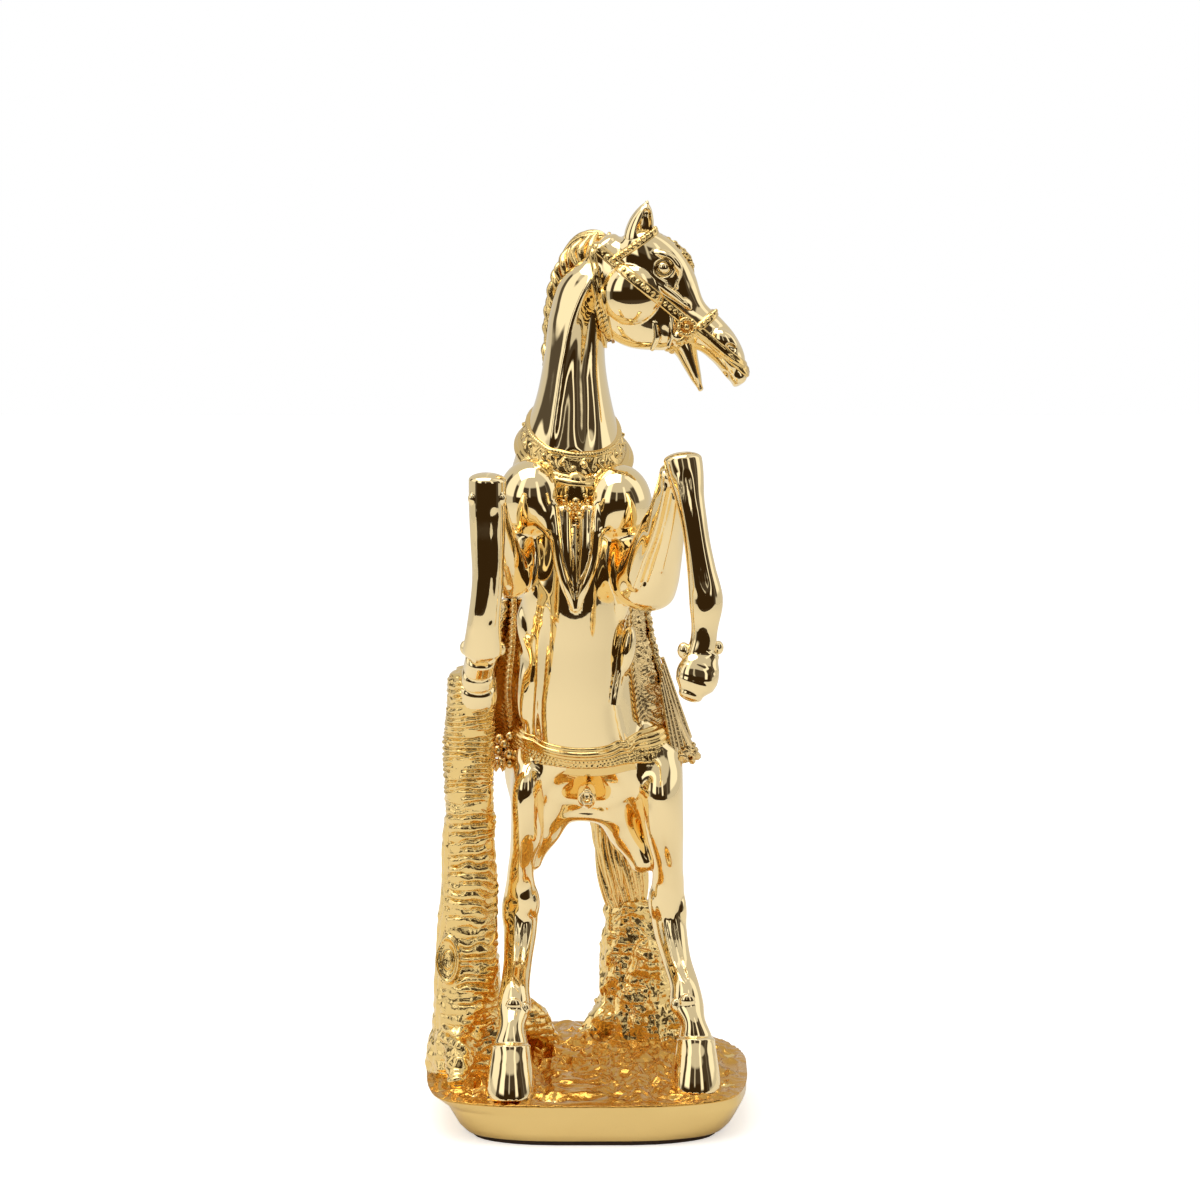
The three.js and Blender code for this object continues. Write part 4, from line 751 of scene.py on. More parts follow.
def hind_leg(stance, hoof_out, forward, thigh, groin_at, lines):
    """Thigh, gaskin, hock, cannon, fetlock and pastern, with the hamstring and groin behind, and the hoof apart.
    Thigh gives its first middles and half widths."""
    hoof_x = stance + hoof_out
    pastern = (FETLOCK_HEIGHT + HOOF_HEIGHT) / 2

    def out(share):
        return stance + hoof_out * share

    (x1, w1), (x2, w2), (x3, w3) = thigh
    shaft = limb(
        [
            (x1, 0, STIFLE_HEIGHT + 17, w1, 15),
            (x2, -9, STIFLE_HEIGHT + 3, w2, 16.5),
            (x3, -10, STIFLE_HEIGHT - 16, w3, 12.5),
            (stance, -4, HOCK_HEIGHT + 16, 6.2, 9),
            (stance, 0.5, HOCK_HEIGHT, 7.6, 8.8),
            (out(0.1), -2, HOCK_HEIGHT - 11, 7.2, 7.4),
            (out(0.35), -forward * 0.27, HOCK_HEIGHT - 23, 6.1, 6.6),
            (out(0.6), -forward * 0.52, FETLOCK_HEIGHT + 6, 6.2, 7.0),
            (out(0.7), -forward * 0.64, FETLOCK_HEIGHT - 2, 7.1, 7.8),
            (out(0.88), -forward * 0.78, pastern, 5.5, 6.6),
            (hoof_x, -forward + 6, HOOF_HEIGHT - 2, 7.4, 7.4),
        ],
        domes=(0.5, 0.3),
        relief=ridges(lines, 1),
    )
    groin = limb(
        [
            (groin_at[0], 0, STIFLE_HEIGHT + 2, 10.5, 14),
            (groin_at[1], 1, STIFLE_HEIGHT - 15, 8.3, 10),
            (groin_at[2], 1, STIFLE_HEIGHT - 29, 6.3, 7.5),
        ],
        domes=(0.5, 0.8),
    )
    hamstring = limb(
        [
            (stance * 0.62 + 1, 18, STIFLE_HEIGHT + 2, 12.5, 12),
            (stance * 0.82, 16, STIFLE_HEIGHT - 15, 9, 10),
            (stance, 10.5, HOCK_HEIGHT + 16, 4.8, 6.4),
            (stance, 8.5, HOCK_HEIGHT + 4, 3.6, 4.4),
        ],
        domes=(0.6, 0.8),
    )
    toward_middle = -1 if stance > 0 else 1
    knobs = [
        (blob((out(0.7), 5 - forward * 0.64, FETLOCK_HEIGHT - 3), (4, 4, 5)), 2.0),
        (blob((stance + 1.5 * toward_middle, -5.4, HOCK_HEIGHT + 3), (4.2, 3.8, 8.5)), 3.0),
        (blob((stance + 5.6 * toward_middle, -3.0, HOCK_HEIGHT + 1), (2.6, 4.0, 6.6)), 2.4),
        (blob((stance - 6.0 * toward_middle, -1.6, HOCK_HEIGHT - 3), (2.2, 4.0, 6.4)), 2.4),
        (blob((out(0.66) + 4.6 * toward_middle, -5.6 - forward * 0.6, FETLOCK_HEIGHT - 1), (2.2, 2.2, 3.2)), 0.8),
        (blob((out(0.7), -6.8 - forward * 0.62, FETLOCK_HEIGHT + 1), (3.2, 1.8, 3.6)), 0.8),
    ]

    def leg(points):
        total = melt(shaft(points), groin(points), 2.0)
        total = melt(total, hamstring(points), 4.0)
        for knob, soft in knobs:
            total = melt(total, knob(points), soft)
        return total

    hoof = limb(
        [
            (hoof_x, -forward - 0.6, -GROUND_SINK - 2.5, 11.2, 12),
            (hoof_x, -forward + 0.6, 3, 10.2, 10.9),
            (hoof_x, -forward + 2.6, HOOF_HEIGHT * 0.55, 9.2, 9.8),
            (hoof_x, -forward + 5, HOOF_HEIGHT - 1, 8.3, 8.6),
        ],
        domes=(0.1, 0.25),
    )
    return leg, hoof


right_hind, right_hind_hoof = hind_leg(
    RIGHT_STANCE,
    -3.5,
    46,
    ((-23.5, 9.0), (-25.5, 7.4), (-26.3, 6.6)),
    (-12.5, -19.5, -24.5),
    [
        ([(0.2, -2.0), (0.28, -1.0), (0.44, 1.0)], 2.0, 0.9),
        ([(0.56, -2.0), (0.78, -1.5)], 1.2, 0.7),
        ([(0.58, 1.8), (0.78, 1.5)], 0.9, -0.6),
    ],
)
left_hind, left_hind_hoof = hind_leg(
    LEFT_STANCE,
    11.5,
    36,
    ((30.0, 11.0), (30.8, 10.2), (32.4, 8.6)),
    (12, 18, 25),
    [
        ([(0.2, -4.4), (0.3, -4.4), (0.42, -3.0)], 2.4, 1.1),
        ([(0.2, -0.8), (0.42, -0.2)], 2.0, -0.8),
        ([(0.56, -2.0), (0.78, -1.5)], 1.2, 0.7),
        ([(0.58, 1.8), (0.78, 1.5)], 0.9, -0.6),
    ],
)


def foreleg(arm, forearm, cannon, hoof, hoof_domes, knobs, lines, shin_lines, groove):
    """Upper arm, forearm, hanging cannon with fetlock, and hoof with its coronet step. The lines are the long
    ridges and furrows of the forearm and the cannon. Groove is the depth of two rings round the hoof."""

    def hoof_steps(share, across, depth):
        return -groove * (np.exp(-(((share - 0.36) / 0.05) ** 2)) + np.exp(-(((share - 0.68) / 0.05) ** 2)))

    upper = limb(arm, domes=(0.7, 0.8))
    fore = limb(forearm, domes=(0.8, 0.5), relief=ridges(lines, -1))
    lower = limb(cannon, domes=(0.45, 0.6), relief=ridges(shin_lines, 1))
    foot = limb(hoof, domes=hoof_domes, square=True, relief=hoof_steps)
    buttons = [blob((x, y, z), (r, r, r * 1.3)) for x, y, z, r in knobs]

    def leg(points):
        total = melt(upper(points), fore(points), 2.4)
        total = melt(total, lower(points), 1.2)
        for button in buttons:
            total = melt(total, button(points), 0.8)
        return melt(total, foot(points), 0.6)

    return leg


RKX, RKY, RKZ = -39.5, -66, KNEE_HEIGHT - 8
right_fore = foreleg(
    [(-26, -6, 243, 14, 15), (-29, -18, 227, 11, 12), (-32, -30, 213, 8.5, 9.5)],
    [(-32, -29, 214, 8.5, 9.5), (-34.5, -42, 226, 8, 9), (-37.5, -55, 241, 7, 7.5), (RKX, RKY + 3, RKZ - 3, 7, 7.5)],
    [
        (RKX, RKY, RKZ + 5, 7.6, 6.8),
        (RKX, RKY - 0.4, RKZ - 7, 7.5, 6.6),
        (RKX, RKY + 0.2, RKZ - 20, 7.0, 6.4),
        (RKX, RKY + 0.4, RKZ - 34, 6.4, 6.4),
        (RKX - 2, RKY + 2.4, RKZ - 56, 6.9, 6.8),
        (RKX - 2.6, RKY + 5.6, RKZ - 66, 7.9, 7.2),
    ],
    [
        (-43, -54, 184, 6.2, 6.2),
        (-44.2, -48, 178, 6.4, 6.4),
        (-44.6, -43, 173, 7.2, 7.8),
        (-44.8, -38, 167, 8.2, 9.2),
    ],
    (0.4, 0.1),
    [
        (-49, -57, 189, 2.4),
        (-35, -57, 188.5, 2.4),
        (RKX - 6, RKY - 3.5, RKZ - 2, 1.8),
        (RKX + 6, RKY - 3.5, RKZ - 2, 1.8),
        (-41.2, -64.5, 190, 2.6),
        (-44.6, -63, 186, 2.0),
        (-38.4, -63, 185.5, 2.0),
    ],
    [([(0.1, -3.5), (0.5, -2.5), (0.9, -1)], 1.4, 1.0), ([(0.1, 1.0), (0.5, 1.2), (0.9, 1.0)], 1.2, -0.8)],
    [([(0.16, -4.6), (0.5, -4.0), (0.86, -4.4)], 1.2, 0.5), ([(0.16, 2.6), (0.5, 2.2), (0.8, 2.6)], 1.6, -0.5)],
    1.1,
)
LKX, LKY, LKZ = 39.5, -62, KNEE_HEIGHT + 2
left_fore = foreleg(
    [(15, -8, 242, 13, 14), (20, -20, 226, 12, 12), (24, -32, 212, 13, 12.5)],
    [(25, -33, 211, 13, 12), (29, -43, 226, 11, 11), (33, -52, 243, 8, 9), (LKX - 4, LKY + 3, LKZ - 3, 5.4, 6.4)],
    [
        (LKX, LKY, LKZ + 3, 7.8, 7.2),
        (LKX + 3, LKY - 4, LKZ - 13, 5.9, 6.4),
        (LKX + 7.5, LKY - 8, LKZ - 40, 5.7, 5.4),
        (LKX + 9.4, LKY - 9, LKZ - 54, 6.6, 6.0),
        (LKX + 8.6, LKY - 9, LKZ - 68, 5.4, 5.2),
        (LKX + 7.4, LKY - 9, LKZ - 75, 6, 5.6),
    ],
    [
        (49, -71, 189, 5.6, 5.4),
        (46.5, -72.5, 183, 8.4, 7.4),
        (44.4, -74, 177, 8.2, 7.4),
        (42.6, -75.2, 172.5, 5, 5.2),
    ],
    (0.4, 0.5),
    [(40, -70, 190, 2.6), (54, -69, 191, 2.2), (42.6, -74.6, 186.5, 2.2), (43.4, -76.4, 182, 1.8)],
    [
        ([(0.1, -6.5), (0.35, -5.5), (0.6, -4.0), (0.95, -2.4)], 1.7, 1.2),
        ([(0.16, -3.0), (0.4, -2.6), (0.65, -1.8), (0.95, -0.6)], 1.5, -1.5),
        ([(0.3, 3.0), (0.55, 2.4), (0.9, 1.8)], 1.6, 0.7),
    ],
    [([(0.1, -3.6), (0.5, -3.4), (0.68, -3.8)], 1.1, 0.5), ([(0.08, 0.4), (0.5, 0.2), (0.66, 0.4)], 1.4, -0.5)],
    0.15,
)


def muscle_swells(points):
    """Soft swells from noise stretched upright: on the hindquarters, and finer ones on the left forearm."""
    x, y, z = points.T
    hind = smooth_step(z, 66, 82) * smooth_step(z, 138, 128)
    fore = smooth_step(x, 14, 20) * smooth_step(-y, 24, 32) * smooth_step(z, 200, 208) * smooth_step(z, 258, 248)
    swells = (0.75 + 0.9 * smooth_step(z, 82, 94)) * hind * wave_noise(points * [1, 1, 0.6], 12.0, 131)
    return swells + 0.55 * fore * wave_noise(points * [1, 1, 0.3], 6.5, 132)


def horse_body(points):
    """Barrel, neck and limbs as one surface with soft fillets, which the pieces share along their seams."""
    total = torso_own(points)
    for leg in (right_hind, left_hind):
        total = melt(total, leg(points), 6.0)
    for leg in (right_fore, left_fore):
        total = melt(total, leg(points), 4.0)
    return total - muscle_swells(points)


# Head: stations run from the nape down to the nose, along an axis that points forward and down

HEAD_PITCH = math.radians(48.7)
NAPE = np.array([5.0, -1.0, POLL_HEIGHT - 1])
HEAD_ALONG = np.array([math.cos(HEAD_PITCH), 0, -math.sin(HEAD_PITCH)])
HEAD_UP = np.array([math.sin(HEAD_PITCH), 0, math.cos(HEAD_PITCH)])
HEAD_LEFT = np.array([0.0, 1.0, 0.0])


def on_head(along, above, left=0.0):
    """Point of the head: so far along from the nape, above the axis, and to the horse's left."""
    return NAPE + along * HEAD_ALONG + above * HEAD_UP + (left - 0.14 * along) * HEAD_LEFT


def head_limb(rows, domes=(0.5, 0.5)):
    """Limb of the head, from shares of its length, heights above the axis, half widths and half heights."""
    return limb(
        [(*on_head(HEAD_LENGTH * share, above), w, h) for share, above, w, h in rows],
        across=(0, 1, 0),
        domes=domes,
    )


skull = head_limb(
    [
        (0.03, 0.9, 9, 9),
        (0.15, 1.9, 10.4, 19),
        (0.3, 2.6, 10.6, 23.5),
        (0.45, 3, 9.4, 20.5),
        (0.58, 5.4, 8.4, 13.6),
        (0.69, 11.2, 7.4, 8.6),
        (0.8, 12.4, 7.2, 7.2),
        (0.9, 11.2, 7.2, 6.0),
        (0.97, 9.2, 5.4, 4.2),
    ]
)
jaw_bone = head_limb(
    [(0.52, -2, 7, 8), (0.66, 0.5, 6.2, 5.2), (0.75, -2, 4.8, 3.6), (0.82, -4.2, 3.4, 2.4), (0.88, -6, 1.6, 1.2)],
    (0.5, 0.7),
)


def side_forms(side):
    """Forms of one side of the head, each with its fillet: those melted on, those cut out, and the eyeball."""
    lean = (HEAD_ALONG, HEAD_UP)

    def at(share, above, out):
        return on_head(HEAD_LENGTH * share, above, side * out)

    def cord(*rows):
        return limb([(*at(share, above, out), r, r) for share, above, out, r in rows], across=HEAD_UP, domes=(1, 1))

    brow = cord(
        (0.16, 14.5, 10.6, 1.0),
        (0.22, 18.6, 11.6, 1.9),
        (0.3, 20.8, 11.4, 2.0),
        (0.37, 18.6, 10.4, 1.5),
        (0.4, 14.6, 9.6, 1.0),
    )
    cheekbone = cord((0.24, 8.6, 11.0, 1.0), (0.36, 10.4, 10.6, 1.7), (0.46, 12.2, 9.4, 1.6), (0.53, 13.0, 8.6, 0.9))
    solid = [
        (blob(at(0.27, 13.5, 4.0), (19, 12, 8.6), lean), 3.0),
        (blob(at(0.29, -0.6, 7.0), (13.2, 13.6, 8.4), lean), 0.5),
        (brow, 0.9),
        (cord((0.2, 12.2, 11.4, 0.8), (0.27, 10.6, 11.6, 1.1), (0.35, 12.0, 11.0, 1.0)), 0.8),
        (cheekbone, 1.2),
        (blob(at(0.5, 13.4, 8.4), (2.6, 2.0, 2.0), lean), 0.7),
        (cord((0.5, 5.0, 8.2, 1.0), (0.56, 1.0, 8.4, 1.4), (0.6, -4.0, 7.4, 1.0)), 1.0),
        (cord((0.47, -2.0, 8.4, 1.0), (0.53, -5.0, 7.8, 1.4), (0.56, -10.0, 6.0, 1.0)), 1.0),
        (blob(at(0.6, 1.6, 7.6), (2.6, 2.6, 2.2), lean), 0.8),
        (blob(at(0.78, 14.6, 5.6), (6.4, 4.4, 3.6), lean), 2.4),
        (blob(at(0.95, 9.6, 3.2), (3.6, 3.4, 2.8), lean), 1.4),
    ]
    hollow = [
        (blob(at(0.288, 15.8, 13.4), (4.7, 4.3, 3.4), lean), 0.7),
        (blob(at(0.82, 15.4, 9.0), (2.9, 1.8, 2.8), (HEAD_ALONG + HEAD_UP * 0.4, HEAD_UP)), 0.8),
        (blob(at(0.45, 17.0, 12.6), (10, 3.6, 4.0), (HEAD_ALONG - HEAD_UP * 0.1, HEAD_UP)), 2.4),
        (blob(at(0.54, -1.8, 10.4), (4.4, 2.6, 2.6), (HEAD_ALONG - HEAD_UP * 0.6, HEAD_UP)), 1.0),
        (blob(at(0.44, -13.5, 10.6), (7.0, 4.4, 3.6), (HEAD_ALONG + HEAD_UP * 0.7, HEAD_UP)), 2.0),
        (blob(at(0.9, 4.2, 4.0), (2.6, 3.4, 3.4), lean), 1.0),
    ]
    ball = [
        (blob(at(0.288, 15.8, 9.3), (3.3, 3.3, 3.6), lean), 0.2),
        (hoop(at(0.288, 15.8, 11.2), HEAD_LEFT * side, 4.3, 0.75), 0.3),
    ]
    return solid, hollow, ball


HEAD_SIDES = [side_forms(side) for side in (-1, 1)]


def head_own(points):
    """Skull with cheek discs, brows, cheekbones, eyes, nostrils and the folds round the mouth."""
    total = skull(points)
    for solid, hollow, ball in HEAD_SIDES:
        for form, soft in solid:
            total = melt(total, form(points), soft)
        for form, soft in hollow:
            total = carve(total, form(points), soft)
        for form, soft in ball:
            total = melt(total, form(points), soft)
    return total


def neck_and_head(points):
    """Neck melted into the shoulders and the head."""
    return melt(melt(spine(points), shoulders(points), 3.0), head_own(points), 1.5)


class StatueSizes(bpy.types.PropertyGroup):
    """Sizes of the surfaces that a user would change."""

    body_step: bpy.props.FloatProperty(
        name="Body facet", description="Size of the facets of the horse's body", default=0.85 * MM, unit="LENGTH"
    )
    head_step: bpy.props.FloatProperty(
        name="Head facet", description="Size of the facets of the head", default=0.45 * MM, unit="LENGTH"
    )
    bark_step: bpy.props.FloatProperty(
        name="Bark facet", description="Size of the facets of the trunk and stump", default=0.7 * MM, unit="LENGTH"
    )
    strap: bpy.props.FloatProperty(
        name="Strap thickness", description="Thickness of the bridle straps", default=1.5 * MM, unit="LENGTH"
    )
    bead: bpy.props.FloatProperty(
        name="Bead radius", description="Radius of the beads on the pendant", default=2.3 * MM, unit="LENGTH"
    )


class StatueColours(bpy.types.PropertyGroup):
    """Colours of the plate on each kind of surface."""

    polished: bpy.props.FloatVectorProperty(
        name="Polished", description="Mirror gold of the body", subtype="COLOR", default=linear("#fbe5b1")[:3]
    )
    rough: bpy.props.FloatVectorProperty(
        name="Bark", description="Gold on the bark", subtype="COLOR", default=linear("#f3d48d")[:3]
    )
    # The ground's deeper gold is painted shade, for its rocks mirroring one another
    ground: bpy.props.FloatVectorProperty(
        name="Ground", description="Gold on the ground", subtype="COLOR", default=linear("#dca953")[:3]
    )
    trim: bpy.props.FloatVectorProperty(
        name="Trim", description="Gold on straps, beads and hair", subtype="COLOR", default=linear("#f0d08a")[:3]
    )
    cloth: bpy.props.FloatVectorProperty(
        name="Cloth", description="Gold on fleece and pleats", subtype="COLOR", default=linear("#eccf94")[:3]
    )


def in_mm(length):
    """A user's size, which Blender keeps in metres, in millimetres."""
    return length / MM


def coarse():
    return 1


class STATUE_OT_body(bpy.types.Operator):
    """Barrel and neck"""

    bl_idname = "statue.body"
    bl_label = "Barrel and neck"

    def execute(self, context):
        step = in_mm(context.scene.statue_sizes.body_step) * coarse()

        def torso_sink(points):
            own = torso_own(points)
            legs = np.minimum(
                np.minimum(right_hind(points), left_hind(points)), np.minimum(right_fore(points), left_fore(points))
            )
            return np.maximum(above_seam(points) * 2, own - legs)

        grow_piece("horse", "torso", horse_body, ((-38, -42, 98), (46, 42, 282)), step, torso_sink)

        def neck_sink(points):
            return np.maximum(-above_seam(points) * 2, spine(points) - head_own(points))

        def whole(points):
            return melt(horse_body(points), head_own(points), 1.5)

        grow_piece("horse", "neck", whole, ((-34, -32, 250), (26, 30, 362)), step * 0.8, neck_sink)
        return {"FINISHED"}


class STATUE_OT_legs(bpy.types.Operator):
    """Forelegs and hind legs with their hooves"""

    bl_idname = "statue.legs"
    bl_label = "Legs"

    def execute(self, context):
        step = in_mm(context.scene.statue_sizes.body_step) * 0.8 * coarse()
        legs = {
            "right_hind_leg": (right_hind, right_hind_hoof, (-48, -62, -5), (-2, 36, 150)),
            "left_hind_leg": (left_hind, left_hind_hoof, (6, -52, -5), (60, 36, 150)),
            "right_foreleg": (right_fore, None, (-56, -78, 158), (-6, 16, 264)),
            "left_foreleg": (left_fore, None, (-2, -84, 164), (60, 14, 272)),
        }
        for name, (leg, hoof, low, high) in legs.items():

            def sink(points, leg=leg):
                return leg(points) - torso_own(points)

            def field(points, hoof=hoof):
                body = horse_body(points)
                if hoof is None:
                    return body
                return melt(body, hoof(points), 0.7)

            grow_piece("horse", name, field, (low, high), step, sink)
        return {"FINISHED"}


class STATUE_OT_head(bpy.types.Operator):
    """Head and lower jaw"""

    bl_idname = "statue.head"
    bl_label = "Head"

    def execute(self, context):
        step = in_mm(context.scene.statue_sizes.head_step) * coarse()

        def head_sink(points):
            return head_own(points) - spine(points)

        grow_piece("horse", "head", neck_and_head, ((-8, -30, 282), (76, 20, 364)), step, head_sink)
        grow_piece("horse", "lower_jaw", jaw_bone, ((26, -22, 280), (62, 6, 326)), step)
        return {"FINISHED"}


class STATUE_OT_ears(bpy.types.Operator):
    """Hollow leaf shaped ears"""

    bl_idname = "statue.ears"
    bl_label = "Ears"

    def execute(self, context):
        step = in_mm(context.scene.statue_sizes.head_step) * coarse()
        for name, side in (("right_ear", -1), ("left_ear", 1)):
            foot = np.array([21.5, -2.5 + 6.5 * side, POLL_HEIGHT - 1])
            leaf = limb(
                [
                    (*(foot + (0, 0, -1.5)), 6.0, 4.4),
                    (*(foot + (1.0, 0, 7)), 5.8, 4.1),
                    (*(foot + (2.6, 0, 13.5)), 4.2, 3.0),
                    (*(foot + (3.7, 0, 17.2)), 2.2, 1.9),
                    (*(foot + (4.2, 0, 19.1)), 0.7, 0.7),
                ],
                domes=(0.3, 1.0),
            )
            cup = limb(
                [
                    (*(foot + (3.6, 3.4 * side, 2.0)), 2.2, 2.6),
                    (*(foot + (3.0, 3.2 * side, 8)), 3.4, 3.2),
                    (*(foot + (3.8, 1.7 * side, 14.5)), 1.7, 1.5),
                ],
                domes=(1.0, 1.5),
            )

            def ear(points, leaf=leaf, cup=cup):
                return carve(leaf(points), cup(points), 0.7)

            low, high = foot - (9, 8, 6), foot + (13, 8, 23)
            grow_piece("horse", name, ear, (low, high), step * 0.8)
        return {"FINISHED"}


# Straps: bands that lie on the skin, found by a search outward from a point inside

HALVINGS = 18


def on_skin(field, starts, ways, reach):
    """Where rays from the starts leave the form, by halving the reach again and again."""
    near, far = np.zeros(len(starts)), np.full(len(starts), float(reach))
    for _ in range(HALVINGS):
        middle = (near + far) / 2
        inside = in_parts(field, starts + middle[:, None] * ways) < 0
        near, far = np.where(inside, middle, near), np.where(inside, far, middle)
    return starts + far[:, None] * ways


def strap(field, centre, normal, half, height, facet=0.32, arc=(0.0, 2 * math.pi), toward=(0, -1, 0), sink=0.7):
    """Band on the skin where it is cut by a plane, as a closed surface of angle and place across. The height is a
    function of the length along the band and the place across it, and is added square to the skin."""
    centre, normal = np.asarray(centre, float), unit(normal)
    first = unit(np.asarray(toward, float) - normal * np.dot(toward, normal))
    second = np.cross(normal, first)
    whole = arc[1] - arc[0] > 6.28
    rows = int((arc[1] - arc[0]) * 22 / (facet * coarse()))
    angle = np.linspace(arc[0], arc[1], rows, endpoint=not whole)
    columns = max(9, int(2 * half / (facet * 0.8 * coarse())))
    across = -half * np.cos(np.linspace(0, np.pi, columns))
    across = 0.5 * across + 0.5 * np.linspace(-half, half, columns)
    ways = np.cos(angle)[:, None] * first + np.sin(angle)[:, None] * second
    starts = centre + across[None, :, None] * normal + np.zeros((rows, 1, 1))
    ways_full = np.broadcast_to(ways[:, None], starts.shape)
    skin = on_skin(field, starts.reshape(-1, 3), ways_full.reshape(-1, 3), 60)
    out = unit(gradient(field, skin)).reshape(starts.shape)
    skin = skin.reshape(starts.shape)
    middle = skin[:, columns // 2]
    closing = middle[:1] if whole else middle[-1:]
    steps = np.linalg.norm(np.diff(np.concatenate([middle, closing]), axis=0), axis=1)
    length = np.concatenate([[0], np.cumsum(steps)[:-1]])
    top = skin + height(length[:, None], across[None, :], steps.sum())[..., None] * out
    under = (skin - sink * out)[:, ::-1]
    ring = np.concatenate([top, under], axis=1)
    if whole:
        return ring.reshape(-1, 3), grid_quads(*ring.shape[:2], ring=True, loop=True)
    return closed_tube(ring)


def roll(across, place, radius):
    """Height of a rounded bead of the given radius that runs along the band at a place across it."""
    return np.sqrt(np.maximum(radius**2 - (across - place) ** 2, 0))


def bead_row(length, across, total, pitch, place, radius, phase=0.0):
    """Height of a row of half balls along the band, with a whole number of them in its length."""
    pitch = total / max(1, round(total / pitch))
    along = (length + phase * pitch) % pitch - pitch / 2
    return np.sqrt(np.maximum(radius**2 - along**2 - (across - place) ** 2, 0))


def soft_edge(across, half, power=6):
    return np.sqrt(np.clip(1 - np.abs(across / half) ** power, 0, 1))


class STATUE_OT_bridle(bpy.types.Operator):
    """Noseband, headstall, browband and throatlatch in relief, and the bit rings"""

    bl_idname = "statue.bridle"
    bl_label = "Bridle"

    def execute(self, context):
        thick = in_mm(context.scene.statue_sizes.strap)

        def edged(half, base, rim, bead, pitch):
            """Flat strap between two rolled edges, with beads along the middle."""

            def height(length, across, total):
                flat = base * soft_edge(across, half)
                edges = roll(np.abs(across), half - rim, rim)
                row = bead_row(length, across, total, pitch, 0, bead) + base * 0.4
                return np.maximum(flat + 0 * length, np.maximum(edges, row))

            return height

        def beaded(half, bead, pitch):
            """Rounded cord of beads."""

            def height(length, across, total):
                cord = 0.55 * half * soft_edge(across, half, 2)
                return cord + bead_row(length, across, total, pitch, 0, bead)

            return height

        straps = {
            "noseband": (on_head(52, 5), HEAD_ALONG, 1.9, beaded(1.9, 0.85, 2.3)),
            "headstall": (
                on_head(HEAD_LENGTH * 0.3, 4.6),
                (math.sin(math.radians(39)), 0, math.cos(math.radians(39))),
                2.3,
                edged(2.3, thick * 0.5, 0.55, 1.0, 2.6),
            ),
            "browband": (on_head(HEAD_LENGTH * 0.1, 6.5), (-0.57, 0, 0.82), 1.7, beaded(1.7, 0.95, 2.2)),
        }
        over_brow = {"browband": (-0.5, math.pi + 0.5)}
        for name, (centre, normal, half, height) in straps.items():
            arc = over_brow.get(name, (0.0, 2 * math.pi))
            points, faces = strap(neck_and_head, centre, normal, half, height, arc=arc)
            put_piece("bridle", name, points, faces)

        def throat_height(length, across, total):
            """Thin cord at the cheek that widens to a beaded band under the throat."""
            low = 0.5 - 0.5 * np.cos(2 * np.pi * (length / total))
            cord = roll(across, 0.6, 1.25)
            band = 0.9 * soft_edge(across, 2.1) + bead_row(length, across, total, 2.1, -0.9, 0.9)
            band = np.maximum(band, 0.9 + bead_row(length, across, total, 2.1, 0.9, 0.9, 0.5))
            return np.maximum(cord, band * smooth_step(low, 0.35, 0.6)) + 0.15

        points, faces = strap(
            neck_and_head, (9.5, 0, THROAT_HEIGHT + 3), (0.98, 0, 0.19), 2.1, throat_height, toward=(-0.19, 0, 0.98)
        )
        put_piece("bridle", "throatlatch", points, faces)

        for name, side in (("right_bit_ring", -1), ("left_bit_ring", 1)):
            centre = on_head(48, 7, 0.7 + 13.1 * side)
            angle = np.linspace(0, 2 * np.pi, 49)[:-1]
            path = centre + 3.3 * (np.cos(angle)[:, None] * [1, 0, 0] + np.sin(angle)[:, None] * [0, 0, 1])
            path = np.concatenate([path, path[:1], path[1:2]])
            tube = swept(path, 0.95, 12, lean=(0, 1, 0))[:-1]
            ring = tube[:-1].reshape(-1, 3), grid_quads(48, 12, ring=True, loop=True)
            studs = [centre + 3.3 * np.array([math.cos(a), 0, math.sin(a)]) + [0, side * 0.7, 0] for a in angle[::6]]
            boss = beads([centre + [0, -side * 0.6, 0]], 1.9)
            points, faces = gathered([ring, beads(studs, 1.0), boss])
            put_piece("bridle", name, points, faces)
        return {"FINISHED"}


